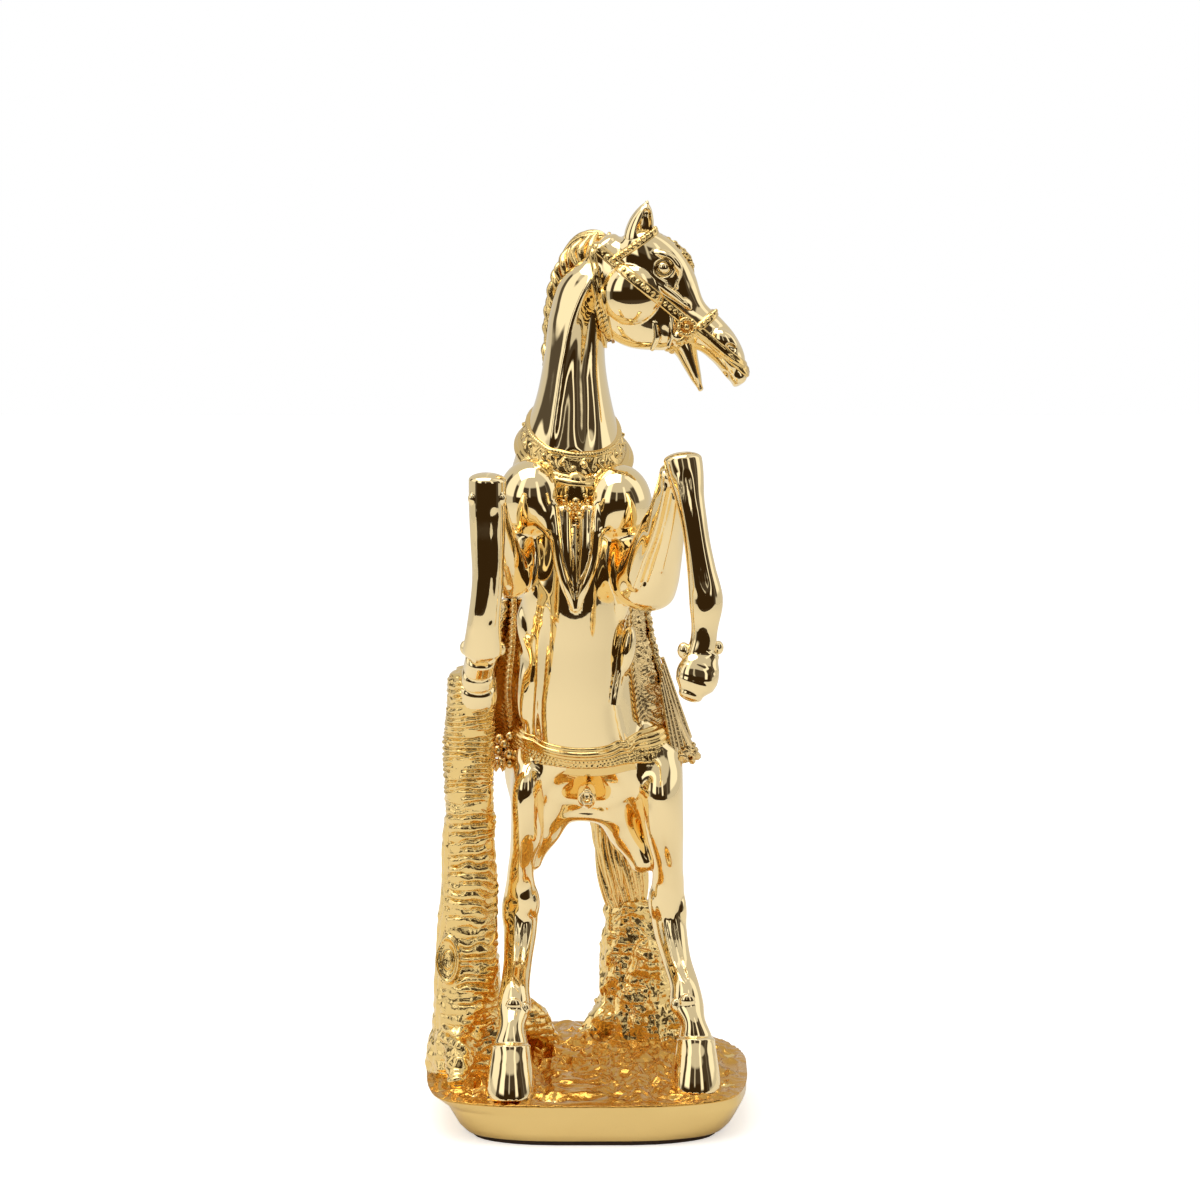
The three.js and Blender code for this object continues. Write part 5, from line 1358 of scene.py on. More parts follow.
class STATUE_OT_breast_collar(bpy.types.Operator):
    """Ornamented collar with its pendant of beads"""

    bl_idname = "statue.breast_collar"
    bl_label = "Breast collar"

    def execute(self, context):
        bead = in_mm(context.scene.statue_sizes.bead)

        def height(length, across, total):
            """From the top edge down: thin rope, band of curls and studs, dark groove, and a double smooth roll."""
            rope = 0.5 + roll(across, 4.9, 0.85) * (0.85 + 0.15 * np.sin(2 * np.pi * (length / 1.5 + across * 0.4)))
            turn = 2 * np.pi * length / 6.4
            curl = np.cos(turn + 2.2 * np.sin(across * 0.85 + 0.6 * np.sin(turn)))
            band = 0.5 + 0.5 * np.maximum(curl, 0) ** 0.7 * smooth_step(across, -1.6, -0.4)
            studs = np.maximum(
                bead_row(length, across, total, 9.6, 1.7, 1.0), bead_row(length, across, total, 9.6, 0.4, 0.7, 0.5)
            )
            band = (band + studs) * smooth_step(across, -1.9, -1.3)
            rolls = np.maximum(0.7 + roll(across, -2.9, 1.0), 1.2 + roll(across, -4.6, 1.3))
            rolls = np.where(across < -1.9, rolls, 0)
            return np.where(across > 3.9, rope, np.maximum(band, rolls)) * soft_edge(across, 6.0, 24)

        centre = np.array([BODY_MIDDLE, 0, WITHERS_HEIGHT + 3.6])
        points, faces = strap(spine, centre, COLLAR_NORMAL, 6.0, height, facet=0.36)
        put_piece("tack", "breast_collar", points, faces)

        # Rows of beads from the top down: height, how many, and share of the bead radius
        rows = [(254.0, 3, 0.6), (251.0, 3, 0.5), (248.4, 3, 0.42), (244.2, 2, 0.55), (240.8, 2, 0.7), (238.6, 1, 0.55)]
        centres, radii = [], []
        for z, count, share in rows:
            for k in range(count):
                centres.append((BODY_MIDDLE + (k - (count - 1) / 2) * 3.4, z))
                radii.append(bead * share)
        ring = np.linspace(0, 2 * np.pi, 13)[:-1]
        for a in ring:
            centres.append((BODY_MIDDLE + 4.9 * math.cos(a), 246.0 + 3.6 * math.sin(a)))
            radii.append(bead * 0.38)
        for side in (-1, 1):
            for k in range(6):
                centres.append((BODY_MIDDLE + side * (1.6 + 1.05 * k), 256.6 - 0.9 * k + 0.16 * k * k))
                radii.append(bead * (0.42 - 0.02 * k))
        centres.append((BODY_MIDDLE, 245.8))
        radii.append(bead * 0.95)
        flat = np.array(centres)
        starts = np.stack([flat[:, 0], np.full(len(flat), 0.0), flat[:, 1]], -1)
        ways = np.broadcast_to(np.array([0.0, -1.0, 0.0]), starts.shape)
        places = on_skin(horse_body, starts, ways, 60) + np.array([0, -0.35, 0])
        places[:, 1] -= 1.2
        points, faces = beads(places, radii)
        plate_field = blob((BODY_MIDDLE, places[:, 1].mean() + 2.2, 247.5), (6.8, 3.4, 10.5))
        plate_points, plate_faces, _ = skinned(plate_field, (-14, -46, 234), (6, -22, 261), 0.6 * coarse())
        points, faces = gathered([(points, faces), (plate_points, plate_faces)])
        put_piece("tack", "chest_pendant", points, faces)
        return {"FINISHED"}


class STATUE_OT_belly_girth(bpy.types.Operator):
    """Girth under the belly, with a double rolled rim over a finely beaded band"""

    bl_idname = "statue.belly_girth"
    bl_label = "Belly girth"

    def execute(self, context):

        def height(length, across, total):
            """Two rolls on top; under them a beaded band that is wider at the flanks than in the middle."""
            rolls = np.maximum(1.1 + roll(across, 4.1, 1.25), 0.8 + roll(across, 2.1, 0.9))
            low = -2.6 - 4.2 * np.abs(2 * length / total - 1) ** 1.5
            fine = 0.8 + np.maximum(
                bead_row(length, across, total, 1.6, 0.2, 0.5), bead_row(length, across, total, 1.6, -1.2, 0.5, 0.5)
            )
            scroll = 0.8 + 0.35 * np.sin(2 * np.pi * length / 3.1 + 1.4 * np.sin(across * 1.6))
            hem = 0.8 + bead_row(length, across - low, total, 2.2, 0.8, 0.7)
            band = np.where(across > low + 1.4, np.maximum(fine, scroll * (across < -2.0)), hem)
            band = band * smooth_step(across, low - 0.3, low + 0.3)
            return np.where(across > 1.1, rolls, band) * soft_edge(across, 6.9, 20) - 0.25

        points, faces = strap(
            barrel, (0, 0, STIFLE_HEIGHT + 28.4), (0, -0.36, 1), 6.9, height, arc=(-1.3, 1.3)
        )
        put_piece("tack", "belly_girth", points, faces)
        return {"FINISHED"}


# Hair

def lock_of_hair(path, radius, wave, seed, count=28, sides=10):
    """Tapered lock along a path, with a slow wave across it."""
    route = smooth_path(path, count)
    share = np.linspace(0, 1, count)
    random = np.random.default_rng(seed)
    turn = random.uniform(0, 2 * np.pi, 3)
    waves = [np.sin(9 * share + turn[0]), np.sin(8 * share + turn[1]), 0.4 * np.sin(7 * share + turn[2])]
    route += wave * np.stack(waves, -1) * np.sin(np.pi * share)[:, None]
    taper = radius * np.sin(np.pi * np.clip(0.06 + 0.92 * share, 0, 1)) ** 0.6
    return closed_tube(swept(route, taper, sides, squash=0.75, lean=(0.2, 1, 0.1)))


class STATUE_OT_hair(bpy.types.Operator):
    """Mane, forelock and tail: a body of hair with separate locks over it"""

    bl_idname = "statue.hair"
    bl_label = "Mane, forelock and tail"

    def execute(self, context):
        random = np.random.default_rng(31)

        def strands(count, depth, twist):
            """Relief of wavy strands round a body of hair: |sin(count / 2 x angle + twist x share)|^0.7."""

            def relief(share, angle):
                fine = np.abs(np.sin(count / 2 * angle + twist * share + 0.6 * np.sin(7 * share)))
                return depth * (fine**0.7 - 0.6)

            return relief

        crest = [(9, 2, 353, 4, 4.5), (0, 8, 349, 6, 6.5), (-7, 13, 335, 6.5, 7), (-9, 17, 319, 6.5, 7)]
        crest += [(-9, 20, 299, 6.5, 7), (-8.5, 23, 282, 6, 6.5), (-7, 25, 268, 4, 4.5)]
        parts = [strand_form(crest, strands(13, 0.22, 16), 160 // coarse(), 104)]
        spots = smooth_path([c[:3] for c in crest], 26)
        for k, spot in enumerate(spots[:-3]):
            for side in (-1, 1):
                drop = random.uniform(9, 15)
                start = spot + np.array([-1.5 + 2.5 * side, -1.0, 2.5])
                middle = spot + np.array([-4.5 + 3.0 * side, -5.0 + random.uniform(-1, 1), -0.35 * drop])
                end = spot + np.array([-3.0 + 2.6 * side, -7.0 + random.uniform(-1.5, 1), -drop])
                parts.append(lock_of_hair([start, middle, end], random.uniform(1.5, 2.2), 0.5, k * 2 + side + 1))
        points, faces = gathered(parts)
        put_piece("hair", "mane", points, faces)

        rows = [(0.1, 15.5, 5, 3), (0.17, 20.2, 6, 3), (0.25, 23.2, 5.6, 2.6)]
        rows += [(0.34, 24.4, 3.6, 1.8), (0.42, 23.0, 1.2, 1.0)]
        tuft = [(*on_head(HEAD_LENGTH * s, a), w, d) for s, a, w, d in rows]
        parts = [strand_form(tuft, strands(9, 0.25, 6), 90 // coarse(), 72, across=(0, 1, 0))]
        for k in range(14):
            share = 0.13 + 0.24 * k / 13
            above = float(np.interp(share, (0.1, 0.17, 0.25, 0.34, 0.42), (18.5, 22.8, 25.0, 25.4, 23.6)))
            side = 3.4 * math.sin(2.4 * k)
            a = on_head(HEAD_LENGTH * (share - 0.02), above - 0.2, side - 1.2)
            b = on_head(HEAD_LENGTH * share, above + 0.5, side)
            c = on_head(HEAD_LENGTH * (share + 0.025), above - 0.6, side + 1.4)
            parts.append(lock_of_hair([a, b, c], random.uniform(1.0, 1.5), 0.3, 80 + k))
        points, faces = gathered(parts)
        put_piece("hair", "forelock", points, faces)

        dock = [(4, 33, 134, 5.5, 5), (6, 43, 127, 6.5, 6), (10, 47, 111, 7.5, 6.5), (13, 46, 92, 9, 7)]
        dock += [(16, 44, 72, 10.5, 7.5), (18, 43, 50, 7.5, 6)]
        parts = [strand_form(dock, strands(15, 0.26, 9), 220 // coarse(), 128)]
        line = smooth_path([c[:3] for c in dock], 40)
        for k in range(22):
            a = 2 * np.pi * k / 22
            first, last = random.integers(3, 16), random.integers(28, 40)
            picks = np.linspace(first, last, 5).astype(int)
            reach = 6.6 + 2.2 * np.sin(np.pi * picks / 40)
            swing = a + np.linspace(0, random.uniform(-0.6, 0.6), 5)
            path = line[picks] + np.stack([reach * np.cos(swing) * 1.12, reach * np.sin(swing) * 0.86, 0 * picks], -1)
            parts.append(lock_of_hair(path, random.uniform(1.6, 2.4), 0.9, 200 + k, 44))
        points, faces = gathered(parts)
        put_piece("hair", "tail", points, faces)
        return {"FINISHED"}


# Cloths on the back and flanks

FLEECE_TOP, FLEECE_DROP = 208, 78
CLOTH_TOP, CLOTH_HEM = 200, 133.6
HAIR_ROW, HAIR_PITCH = 2.6, 1.8


def flare(share, angle, most):
    """How far a cloth swings out: nothing at the back, most at the side, more towards the lower edge."""
    return most * np.sin(np.minimum(np.abs(angle), np.pi / 2)) ** 4 * share**1.5


def cloth_swing(share, angle):
    """Swing of the cloth and its smooth pleats, which are narrow near the front edges and deepen to the hem."""
    pleats = np.abs(np.cos(15.5 * angle + 0.7 * np.sin(2.5 * share))) ** 0.7
    return flare(0.1 + 0.9 * share, angle, 11) + 2.3 * flare(share, angle, 1) * pleats


def wrapped_sheet(top, bottom, side, lift, thick, rows, columns):
    """Closed sheet round the back: grid of height and angle from +Y, which side gives by the shares down and across.
    Lift is the distance of its outer face from the barrel and thick its own thickness."""
    down = np.linspace(0, 1, rows)[:, None]
    across = np.linspace(-1, 1, columns)[None, :]
    angle = side(down, across)
    z = top + (bottom - top) * down + 0 * across
    x, y, w, d = barrel_at(z)
    faces = []
    for inward in (0.0, 1.0):
        off = lift(down, across) - inward * thick(down, across)
        faces.append(np.stack([x + (w + off) * np.sin(angle), y + (d + off) * np.cos(angle), z], -1))
    outer, inner = faces
    ring = np.concatenate([outer, inner[:, ::-1]], axis=1)
    return closed_tube(ring)


class STATUE_OT_cloths(bpy.types.Operator):
    """Fleece pad with combed hair and a pleated cloth over it, with rope edges"""

    bl_idname = "statue.cloths"
    bl_label = "Cloths"

    def execute(self, context):
        def fleece_side(share, across):
            """Angle at a share across: on the horse's right the front edge stays close to the flank."""
            return np.where(across < 0, 0.8, 1.0) * (2.02 + 0.12 * share) * across

        def fleece_lift(share, across):
            """Distance of the fleece from the barrel: combed rows of hair, lumps and curls on a swinging pad."""
            real = fleece_side(share, across)
            z, s = share * FLEECE_DROP, np.abs(real) * 33
            row = np.floor(s / HAIR_ROW)
            comb = np.where(row % 2 < 1, s, -s)
            hair = 0.42 * np.sin(2 * np.pi * (z + 0.9 * comb) / HAIR_PITCH + 1.7 * row + 0.8 * np.sin(z * 0.4))
            lumps = 0.5 * np.sin(z * 0.33 + 2 * np.sin(s * 0.21)) * np.sin(s * 0.5)
            curls = 1.1 * np.sin(z * 0.9 + 1.5 * np.sin(s * 0.8)) * np.sin(s * 1.1 + z * 0.3)
            curls = curls * smooth_step(np.abs(real), 1.95, 1.85) * smooth_step(np.abs(real), 1.6, 1.75)
            rise = smooth_step(np.abs(across), 1.0, 0.78)
            held = 1 - 0.14 * smooth_step(np.abs(real), 1.3, 1.6)
            full = 3.4 + held * cloth_swing(np.clip((z - 8) / 67, 0, 1), np.minimum(np.abs(real), 1.6))
            return -0.4 + (full + 0.4) * rise + (hair + lumps + curls) * smooth_step(np.abs(across), 1.0, 0.97)

        def fleece_thick(share, across):
            """The pad reaches 1.5 mm into the barrel, so that no gap shows under it."""
            return fleece_lift(share, across) + 1.5

        rows, columns = 180 // coarse(), 240 // coarse()
        bottom = FLEECE_TOP - FLEECE_DROP
        points, faces = wrapped_sheet(FLEECE_TOP, bottom, fleece_side, fleece_lift, fleece_thick, rows, columns)

        def twist(share, angle):
            """Relief of a two stranded rope."""
            return 0.25 * np.sin(2 * angle + 190 * share)

        ropes = []
        for side, radius, inset in ((-1, 1.9, 0.06), (1, 0.6, 0.01)):
            share = np.linspace(0.02, 1, 160)
            angle = fleece_side(share, side * np.ones_like(share)) * (1 - inset)
            z = FLEECE_TOP - FLEECE_DROP * share
            x, y, w, d = barrel_at(z)
            path = np.stack([x + (w + 1.0) * np.sin(angle), y + (d + 1.0) * np.cos(angle), z], -1)
            ropes.append(closed_tube(swept(path, radius, 16, lean=(0, 1, 0), relief=twist)))
        points, faces = gathered([(points, faces), *ropes])
        put_piece("cloth", "fleece_pad", points, faces)

        def cloth_side(share, across):
            """Angle of the cloth at a share across, a little wider at the hem."""
            return (1.62 + 0.1 * share) * across

        def cloth_lift(share, across):
            """Distance of the cloth from the barrel: its swing and pleats, and a worn, lumpy field near its edges."""
            real = cloth_side(share, across)
            z, s = share * 70, np.abs(real) * 36
            side = np.abs(across)
            worn = smooth_step(side, 0.74, 0.84) * (1 - smooth_step(share, 0.38, 0.56))
            rough = 0.9 * np.sin(s * 1.3 + 2 * np.sin(z * 0.5)) * np.sin(z * 1.0 + np.sin(s)) * worn
            return 5.4 + cloth_swing(share, real) + rough - 1.0 * smooth_step(side, 0.99, 1.0)

        def cloth_thick(share, across):
            """Thinner at the front edges."""
            return 1.9 + 0 * across - 0.9 * smooth_step(np.abs(across), 0.99, 1.0)

        columns = 390 // coarse()
        rows = 100 // coarse()
        points, faces = wrapped_sheet(CLOTH_TOP, CLOTH_HEM, cloth_side, cloth_lift, cloth_thick, rows, columns)
        across = np.linspace(-0.99, 0.99, columns)
        angle = cloth_side(np.ones_like(across), across)
        x, y, w, d = barrel_at(np.full_like(angle, 133.0))
        off = cloth_lift(np.ones_like(angle), across) - 2.2
        path = np.stack([x + (w + off) * np.sin(angle), y + (d + off) * np.cos(angle), 132.4 + 0 * angle], -1)

        def bumps(share, angle):
            """Relief of a looped hem."""
            return 0.4 * np.sin(2 * angle + 260 * share) + 0.3 * np.sin(angle - 410 * share)

        hem = closed_tube(swept(path, 2.3, 16, lean=(0, 0, 1), relief=bumps))
        tassels = []
        for side in (-1, 1):
            for k in range(9):
                turn = 2.4 * k
                spot = np.array([side * 31.0 - 4 + 2.6 * math.cos(turn), -9.0 + 2.0 * math.sin(turn), 143 - 1.5 * k])
                tassels.append(beads([spot], 2.0 + 0.5 * math.sin(1.7 * k)))

        def knots(share, angle):
            """Relief of a knotted rope."""
            return 0.35 * np.sin(3 * angle + 44 * share) + 0.3 * np.sin(angle - 61 * share)

        folds = []
        for side in (-1, 1):
            for k in range(5):
                fold = [
                    (31.8 + 0.2 * k, -9 + 3.0 * k, 166 + 2.2 * k, 1.0),
                    (34.6 + 1.2 * k, -9 + 3.4 * k, 151 + 0.7 * k, 1.5),
                    (37.6 + 1.6 * k, -8.5 + 3.6 * k, 134 + 1.3 * k, 2.1),
                ]
                if side < 0:
                    fold = [(2 * BODY_MIDDLE - x, y, z, r) for x, y, z, r in fold]
                route = smooth_path([row[:3] for row in fold], 40)
                reach = np.interp(np.linspace(0, 2, 40), [0, 1, 2], [row[3] for row in fold])
                folds.append(closed_tube(swept(route, reach, 20, squash=0.8, lean=(1, 0, 0))))
            corner = [(26, -11, 131.4), (34, -9.5, 131.8), (41, -4, 133.6), (44, 4, 136)]
            if side < 0:
                corner = [(2 * BODY_MIDDLE - x, y, z) for x, y, z in corner]
            route = smooth_path(corner, 60)
            folds.append(closed_tube(swept(route, 2.4, 18, lean=(0, 0, 1), relief=knots)))
        points, faces = gathered([(points, faces), hem, *tassels, *folds])
        put_piece("cloth", "saddle_cloth", points, faces)
        return {"FINISHED"}


# Trunk, stump and ground

TRUNK = [
    (-50, -6, -GROUND_SINK, 18, 21),
    (-50.6, -7, 18, 16, 17.5),
    (-50.5, -9, 46, 13.4, 14),
    (-50, -12, 82, 11.8, 12),
    (-49.2, -18, 113, 10.6, 11),
    (-48.8, -26, 142, 10.6, 11),
    (-47.4, -35, 171, 10, 11.5),
]
STUMP = [(24, 40, -GROUND_SINK, 22, 17), (24, 40, 14, 18.5, 14.5), (21, 42, 34, 15, 12), (19, 43, 54, 11, 9.5)]


SLAB_SPACING, RING_SPACING, PLANK_SPACING = 3.9, 2.4, 5.2


def root(start, end, high):
    """Root that leans from a point on the wood down to the ground."""
    start, end = np.array(start, float), np.array(end, float)
    middle = start + (end - start) * 0.55 + (0, 0, 5)
    rows = [(*spot, high * share, high * share) for spot, share in ((start, 1.3), (middle, 1), (end, 0.55))]
    return limb(rows, across=(0.1, 0.2, 1))


def bark(points, rows, seed):
    """Depth of bark: wavy rings |sin|^0.85 that are fine near the top, coarse slabs |sin|^0.5 with dark gaps lower
    down, broken up by noise, and smooth upright slabs on the side away from the horse."""
    axis = np.array(rows, float)
    x = np.interp(points[:, 2], axis[:, 2], axis[:, 0])
    y = np.interp(points[:, 2], axis[:, 2], axis[:, 1])
    around = np.arctan2(points[:, 0] - x, y - points[:, 1])
    z = points[:, 2]
    place = np.stack([around * 12, 0 * z, z], -1)
    warp = wave_noise(place, 14.0, seed) * 2.6 + wave_noise(place, 5.0, seed + 1) * 1.1
    broken = wave_noise(place * [1, 1, 1.8], 6.0, seed + 2)
    low_share = smooth_step(z, 124, 106)
    slabs = np.abs(np.sin(np.pi * (z + warp) / SLAB_SPACING)) ** 0.5
    rings = np.abs(np.sin(np.pi * (z + 0.8 * warp) / RING_SPACING)) ** 0.85
    slab_depth = 2.3 * smooth_step(broken, -0.8, 0.3)
    ring_depth = 1.7 * smooth_step(broken, -0.75, 0.25)
    relief = low_share * slab_depth * (slabs - 0.8) + (1 - low_share) * ring_depth * (rings - 0.7)
    upright = smooth_step(around, -0.75, -1.05) * smooth_step(z, 116, 104)
    planks = 1.6 * (np.abs(np.sin(np.pi * (place[:, 0] + 0.7 * warp) / PLANK_SPACING)) ** 0.6 - 0.8)
    relief = relief * (1 - upright) + planks * upright
    low = smooth_step(z, 40, 10)
    lumps = layered_noise(points, 9.0, seed + 3)
    return relief * (1 - 0.6 * low) + (0.8 + 1.0 * low) * lumps


def knot_rings(points, centre, radii):
    """Raised ring with a hollow middle, like a healed branch, as an added depth, and how near a point is to it."""
    rel = (points - np.array(centre, float)) / np.array(radii, float)
    far = np.sqrt((rel**2).sum(-1))
    rings = 0.45 * np.cos(17 * far) * np.exp(-(far**4))
    height = 1.7 * np.exp(-(((far - 1.0) / 0.16) ** 2)) - 1.5 * np.exp(-((far / 0.72) ** 4)) + rings
    return height, smooth_step(far, 1.5, 1.05)


class STATUE_OT_wood(bpy.types.Operator):
    """Tree trunk under the right fore hoof, and the stump behind the tail"""

    bl_idname = "statue.wood"
    bl_label = "Trunk and stump"

    def execute(self, context):
        step = in_mm(context.scene.statue_sizes.bark_step) * coarse()
        trunk_wood = melted(
            [
                limb(TRUNK, domes=(0.2, 0.6)),
                root((-43, 2, 18), (-14, 18, 0), 9.5),
                root((-49, 2, 12), (-36, 42, 0), 7),
                root((-53, -14, 8), (-54, -36, -1), 7),
            ],
            6.0,
        )
        trunk_knot = blob((-57, -18, 46), (6.5, 5, 9))

        def trunk(points):
            wood = melt(trunk_wood(points), trunk_knot(points), 3.0)
            knot, near = knot_rings(points, (-59, -22, 48.5), (4.8, 7.0, 9.4))
            return wood - 0.85 * bark(points, TRUNK, 11) * (1 - near) - knot

        grow_piece("wood", "tree_trunk", trunk, ((-74, -48, -8), (-4, 52, 184)), step)

        stump_wood = melted([limb(STUMP, domes=(0.2, 0.7)), root((24, 40, 10), (0, 30, 0), 7)], 6.0)
        stump_knot = blob((27, 30, 36), (6.5, 5, 8.5))

        def stump(points):
            wood = melt(stump_wood(points), stump_knot(points), 3.0)
            folds = wave_noise(points * [1, 1, 0.35], 6.0, 60)
            relief = 0.4 * bark(points, STUMP, 41) + 2.2 * (0.5 - np.abs(folds)) + 1.1 * layered_noise(points, 7.0, 51)
            return wood - relief

        grow_piece("wood", "rear_stump", stump, ((-10, 12, -8), (54, 66, 68)), step)
        return {"FINISHED"}


PLINTH_HALF_WIDTH, PLINTH_REAR_DEPTH, PLINTH_FRONT_DEPTH = 70, 71, 61.5
FOOT_INSET, FOOT_SHIFT = 11.5, 3.4
# The wall of the base from its foot to the rim, by the share of the way up
WALL_SHARES, WALL_INSETS = (0, 0.66, 1), (9.5, 4.6, 1.4)
WALL_HEIGHTS, WALL_SHIFTS = (-17.5, -9, -4.6), (FOOT_SHIFT, 3.2, 0)
DENT_SIZE, CRUMPLE_SIZES, GRIT_SIZE = 16.0, (9.0, 4.2), 1.7


def oval(angle, inset, shift=0.0):
    """Outline of the base: power oval, |x|^p + |y|^p, of p 2.25 behind and a flatter 4.2 in front, with a wander."""
    front = np.sin(angle) < 0
    share = 2 / np.where(front, 4.2, 2.25)
    wander = 1 + 0.008 * np.sin(3 * angle + 0.8) + 0.006 * np.sin(7 * angle)
    depth = np.where(front, PLINTH_FRONT_DEPTH * wander - 0.3 * inset, PLINTH_REAR_DEPTH * wander - inset)
    round_x, round_y = (np.sign(v) * np.abs(v) ** share for v in (np.cos(angle), np.sin(angle)))
    return (PLINTH_HALF_WIDTH * wander - inset) * round_x + shift, depth * round_y


def ground_height(x, y, from_rim):
    """Mound, rocks with creases between them, and a drop to the rim. From_rim is 0 at the rim, 1 in the middle."""
    pace = np.pi / 15
    crease_across = np.abs(np.sin(pace * (x + 0.35 * y) + 0.9 * np.sin(0.09 * y)))
    crease_along = np.abs(np.sin(pace * (0.9 * y - 0.3 * x) + 0.8 * np.sin(0.11 * x + 1)))
    rocks = 2.4 * (np.sqrt(crease_across * crease_along) - 0.55)
    mound = 4 * np.exp(-((x + 4) ** 2 + (y - 24) ** 2) / 900)
    return (mound + rocks) * np.minimum(1, 5 * from_rim) - 3 * (1 - from_rim) ** 2


class STATUE_OT_ground(bpy.types.Operator):
    """Oval ground: rocky top, chipped rim and smooth wall, as rings of a power oval"""

    bl_idname = "statue.ground"
    bl_label = "Ground"

    def execute(self, context):
        columns = 520 // coarse()
        angle = np.linspace(0, 2 * np.pi, columns, endpoint=False)
        rings = []
        for inset, z in ((FOOT_INSET + 0.6, -20.0), (FOOT_INSET + 0.2, -19.7), (FOOT_INSET - 2, WALL_HEIGHTS[0])):
            x, y = oval(angle, inset, FOOT_SHIFT)
            rings.append(np.stack([x, y, np.full(columns, z)], -1))
        for share in np.linspace(0, 1, 34 // coarse())[1:]:
            inset, height, shift = (np.interp(share, WALL_SHARES, v) for v in (WALL_INSETS, WALL_HEIGHTS, WALL_SHIFTS))
            x, y = oval(angle, inset, shift)
            z = np.full(columns, height)
            dents = wave_noise(np.stack([x, y, z], -1), DENT_SIZE, 71) * 0.5 * math.sin(math.pi * share)
            swell = 1 + dents / PLINTH_HALF_WIDTH
            rings.append(np.stack([x * swell, y * swell, z], -1))
        for share in np.linspace(1, 0.004, 150 // coarse()):
            x, y = oval(angle, 0.9)
            x, y = x * share, y * share
            from_rim = 1 - share
            z = ground_height(x, y, from_rim)
            flat = np.stack([x, y, 0 * x], -1)
            coarse_folds, fine_folds = (np.abs(wave_noise(flat, size, 81 + k)) for k, size in enumerate(CRUMPLE_SIZES))
            crumple = 1 - 1.7 * coarse_folds - 1.1 * fine_folds
            grit = wave_noise(flat, GRIT_SIZE, 84)
            fade = min(1.0, 9 * from_rim)
            z = z + (1.5 * crumple + 0.3 * grit) * fade - 0.7 + 0.3 * (1 - fade) * grit
            rings.append(np.stack([x, y, z], -1))
        points, faces = closed_tube(np.array(rings))
        mesh = put_piece("ground", "plinth", points, faces).data
        mesh.materials.append(finish("base_wall_plate"))
        centres = np.zeros(len(mesh.polygons) * 3)
        mesh.polygons.foreach_get("center", centres)
        below = centres.reshape(-1, 3)[:, 2] < (GROUND - 4.4) * MM
        mesh.polygons.foreach_set("material_index", below.astype(np.int32))
        return {"FINISHED"}


class STATUE_OT_inner_pieces(bpy.types.Operator):
    """Finishes for the CAD pieces that stay: felt, rods and dowels"""

    bl_idname = "statue.inner_pieces"
    bl_label = "Felt, rods and dowels"

    def execute(self, context):
        for name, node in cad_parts.items():
            if name == "felt_pad":
                material = finish("pressed_wool_felt")
            elif name.endswith("_rod"):
                material = finish("drawn_steel_rod")
            elif name.endswith("_dowel"):
                material = finish("turned_beech_dowel")
            elif not node.hide_render:
                material = finish("cast_trim_plate")
            else:
                continue
            for slot_number in range(max(1, len(node.material_slots))):
                if node.material_slots:
                    node.material_slots[slot_number].material = material
                else:
                    node.data.materials.append(material)
        return {"FINISHED"}


# Stage

CAMERA_AIM = np.array([6.0, 0.0, 222.0])
CAMERA_DISTANCE = 1500.0
CAMERA_ELEVATION = math.radians(8.7)
CAMERA_LENS = 105.9

FLOOR_HALF_WIDTH, FLOOR_NEAR, FLOOR_FAR = 1.3, -0.76, 3.0
# Gold that mirrors gold many times over must not go black
MOST_BOUNCES, MOST_GOLD_BOUNCES = 14, 10

LAMP_WATTS, LAMP_SIZE, LAMP_PLACE = 6.0, (0.9, 0.7), (-0.25, -0.1, 1.3)
LAMP_TURN = (math.radians(4), math.radians(-11), 0)

DEGREES = 57.3  # in a radian
OPEN_STUDIO = 0.95  # brightness where no patch lies
PATCH_EDGE = 2.5
WARM_GLOW = (0.035, 0.02, 0.008)  # red, green and blue added all over, so that dark reflections stay warm
# What the plate reflects, painted in order: azimuths to the camera's right, heights in degrees, and brightness
STUDIO_PATCHES = (
    (-180, 180, -95, 95, 0.62),
    (-72, 66, -50, 36, 0.03),
    (-60, 52, -16, 14, 0.0),
    (-56, -32, 6, 70, 1.25),
    (24, 36, 4, 52, 1.15),
    (-9, -4, 10, 40, 0.7),
    (-110, -70, 5, 70, 1.05),
    (66, 82, 1, 40, 0.05),
    (-126, -110, 1, 36, 0.06),
    (82, 112, 5, 70, 1.05),
)


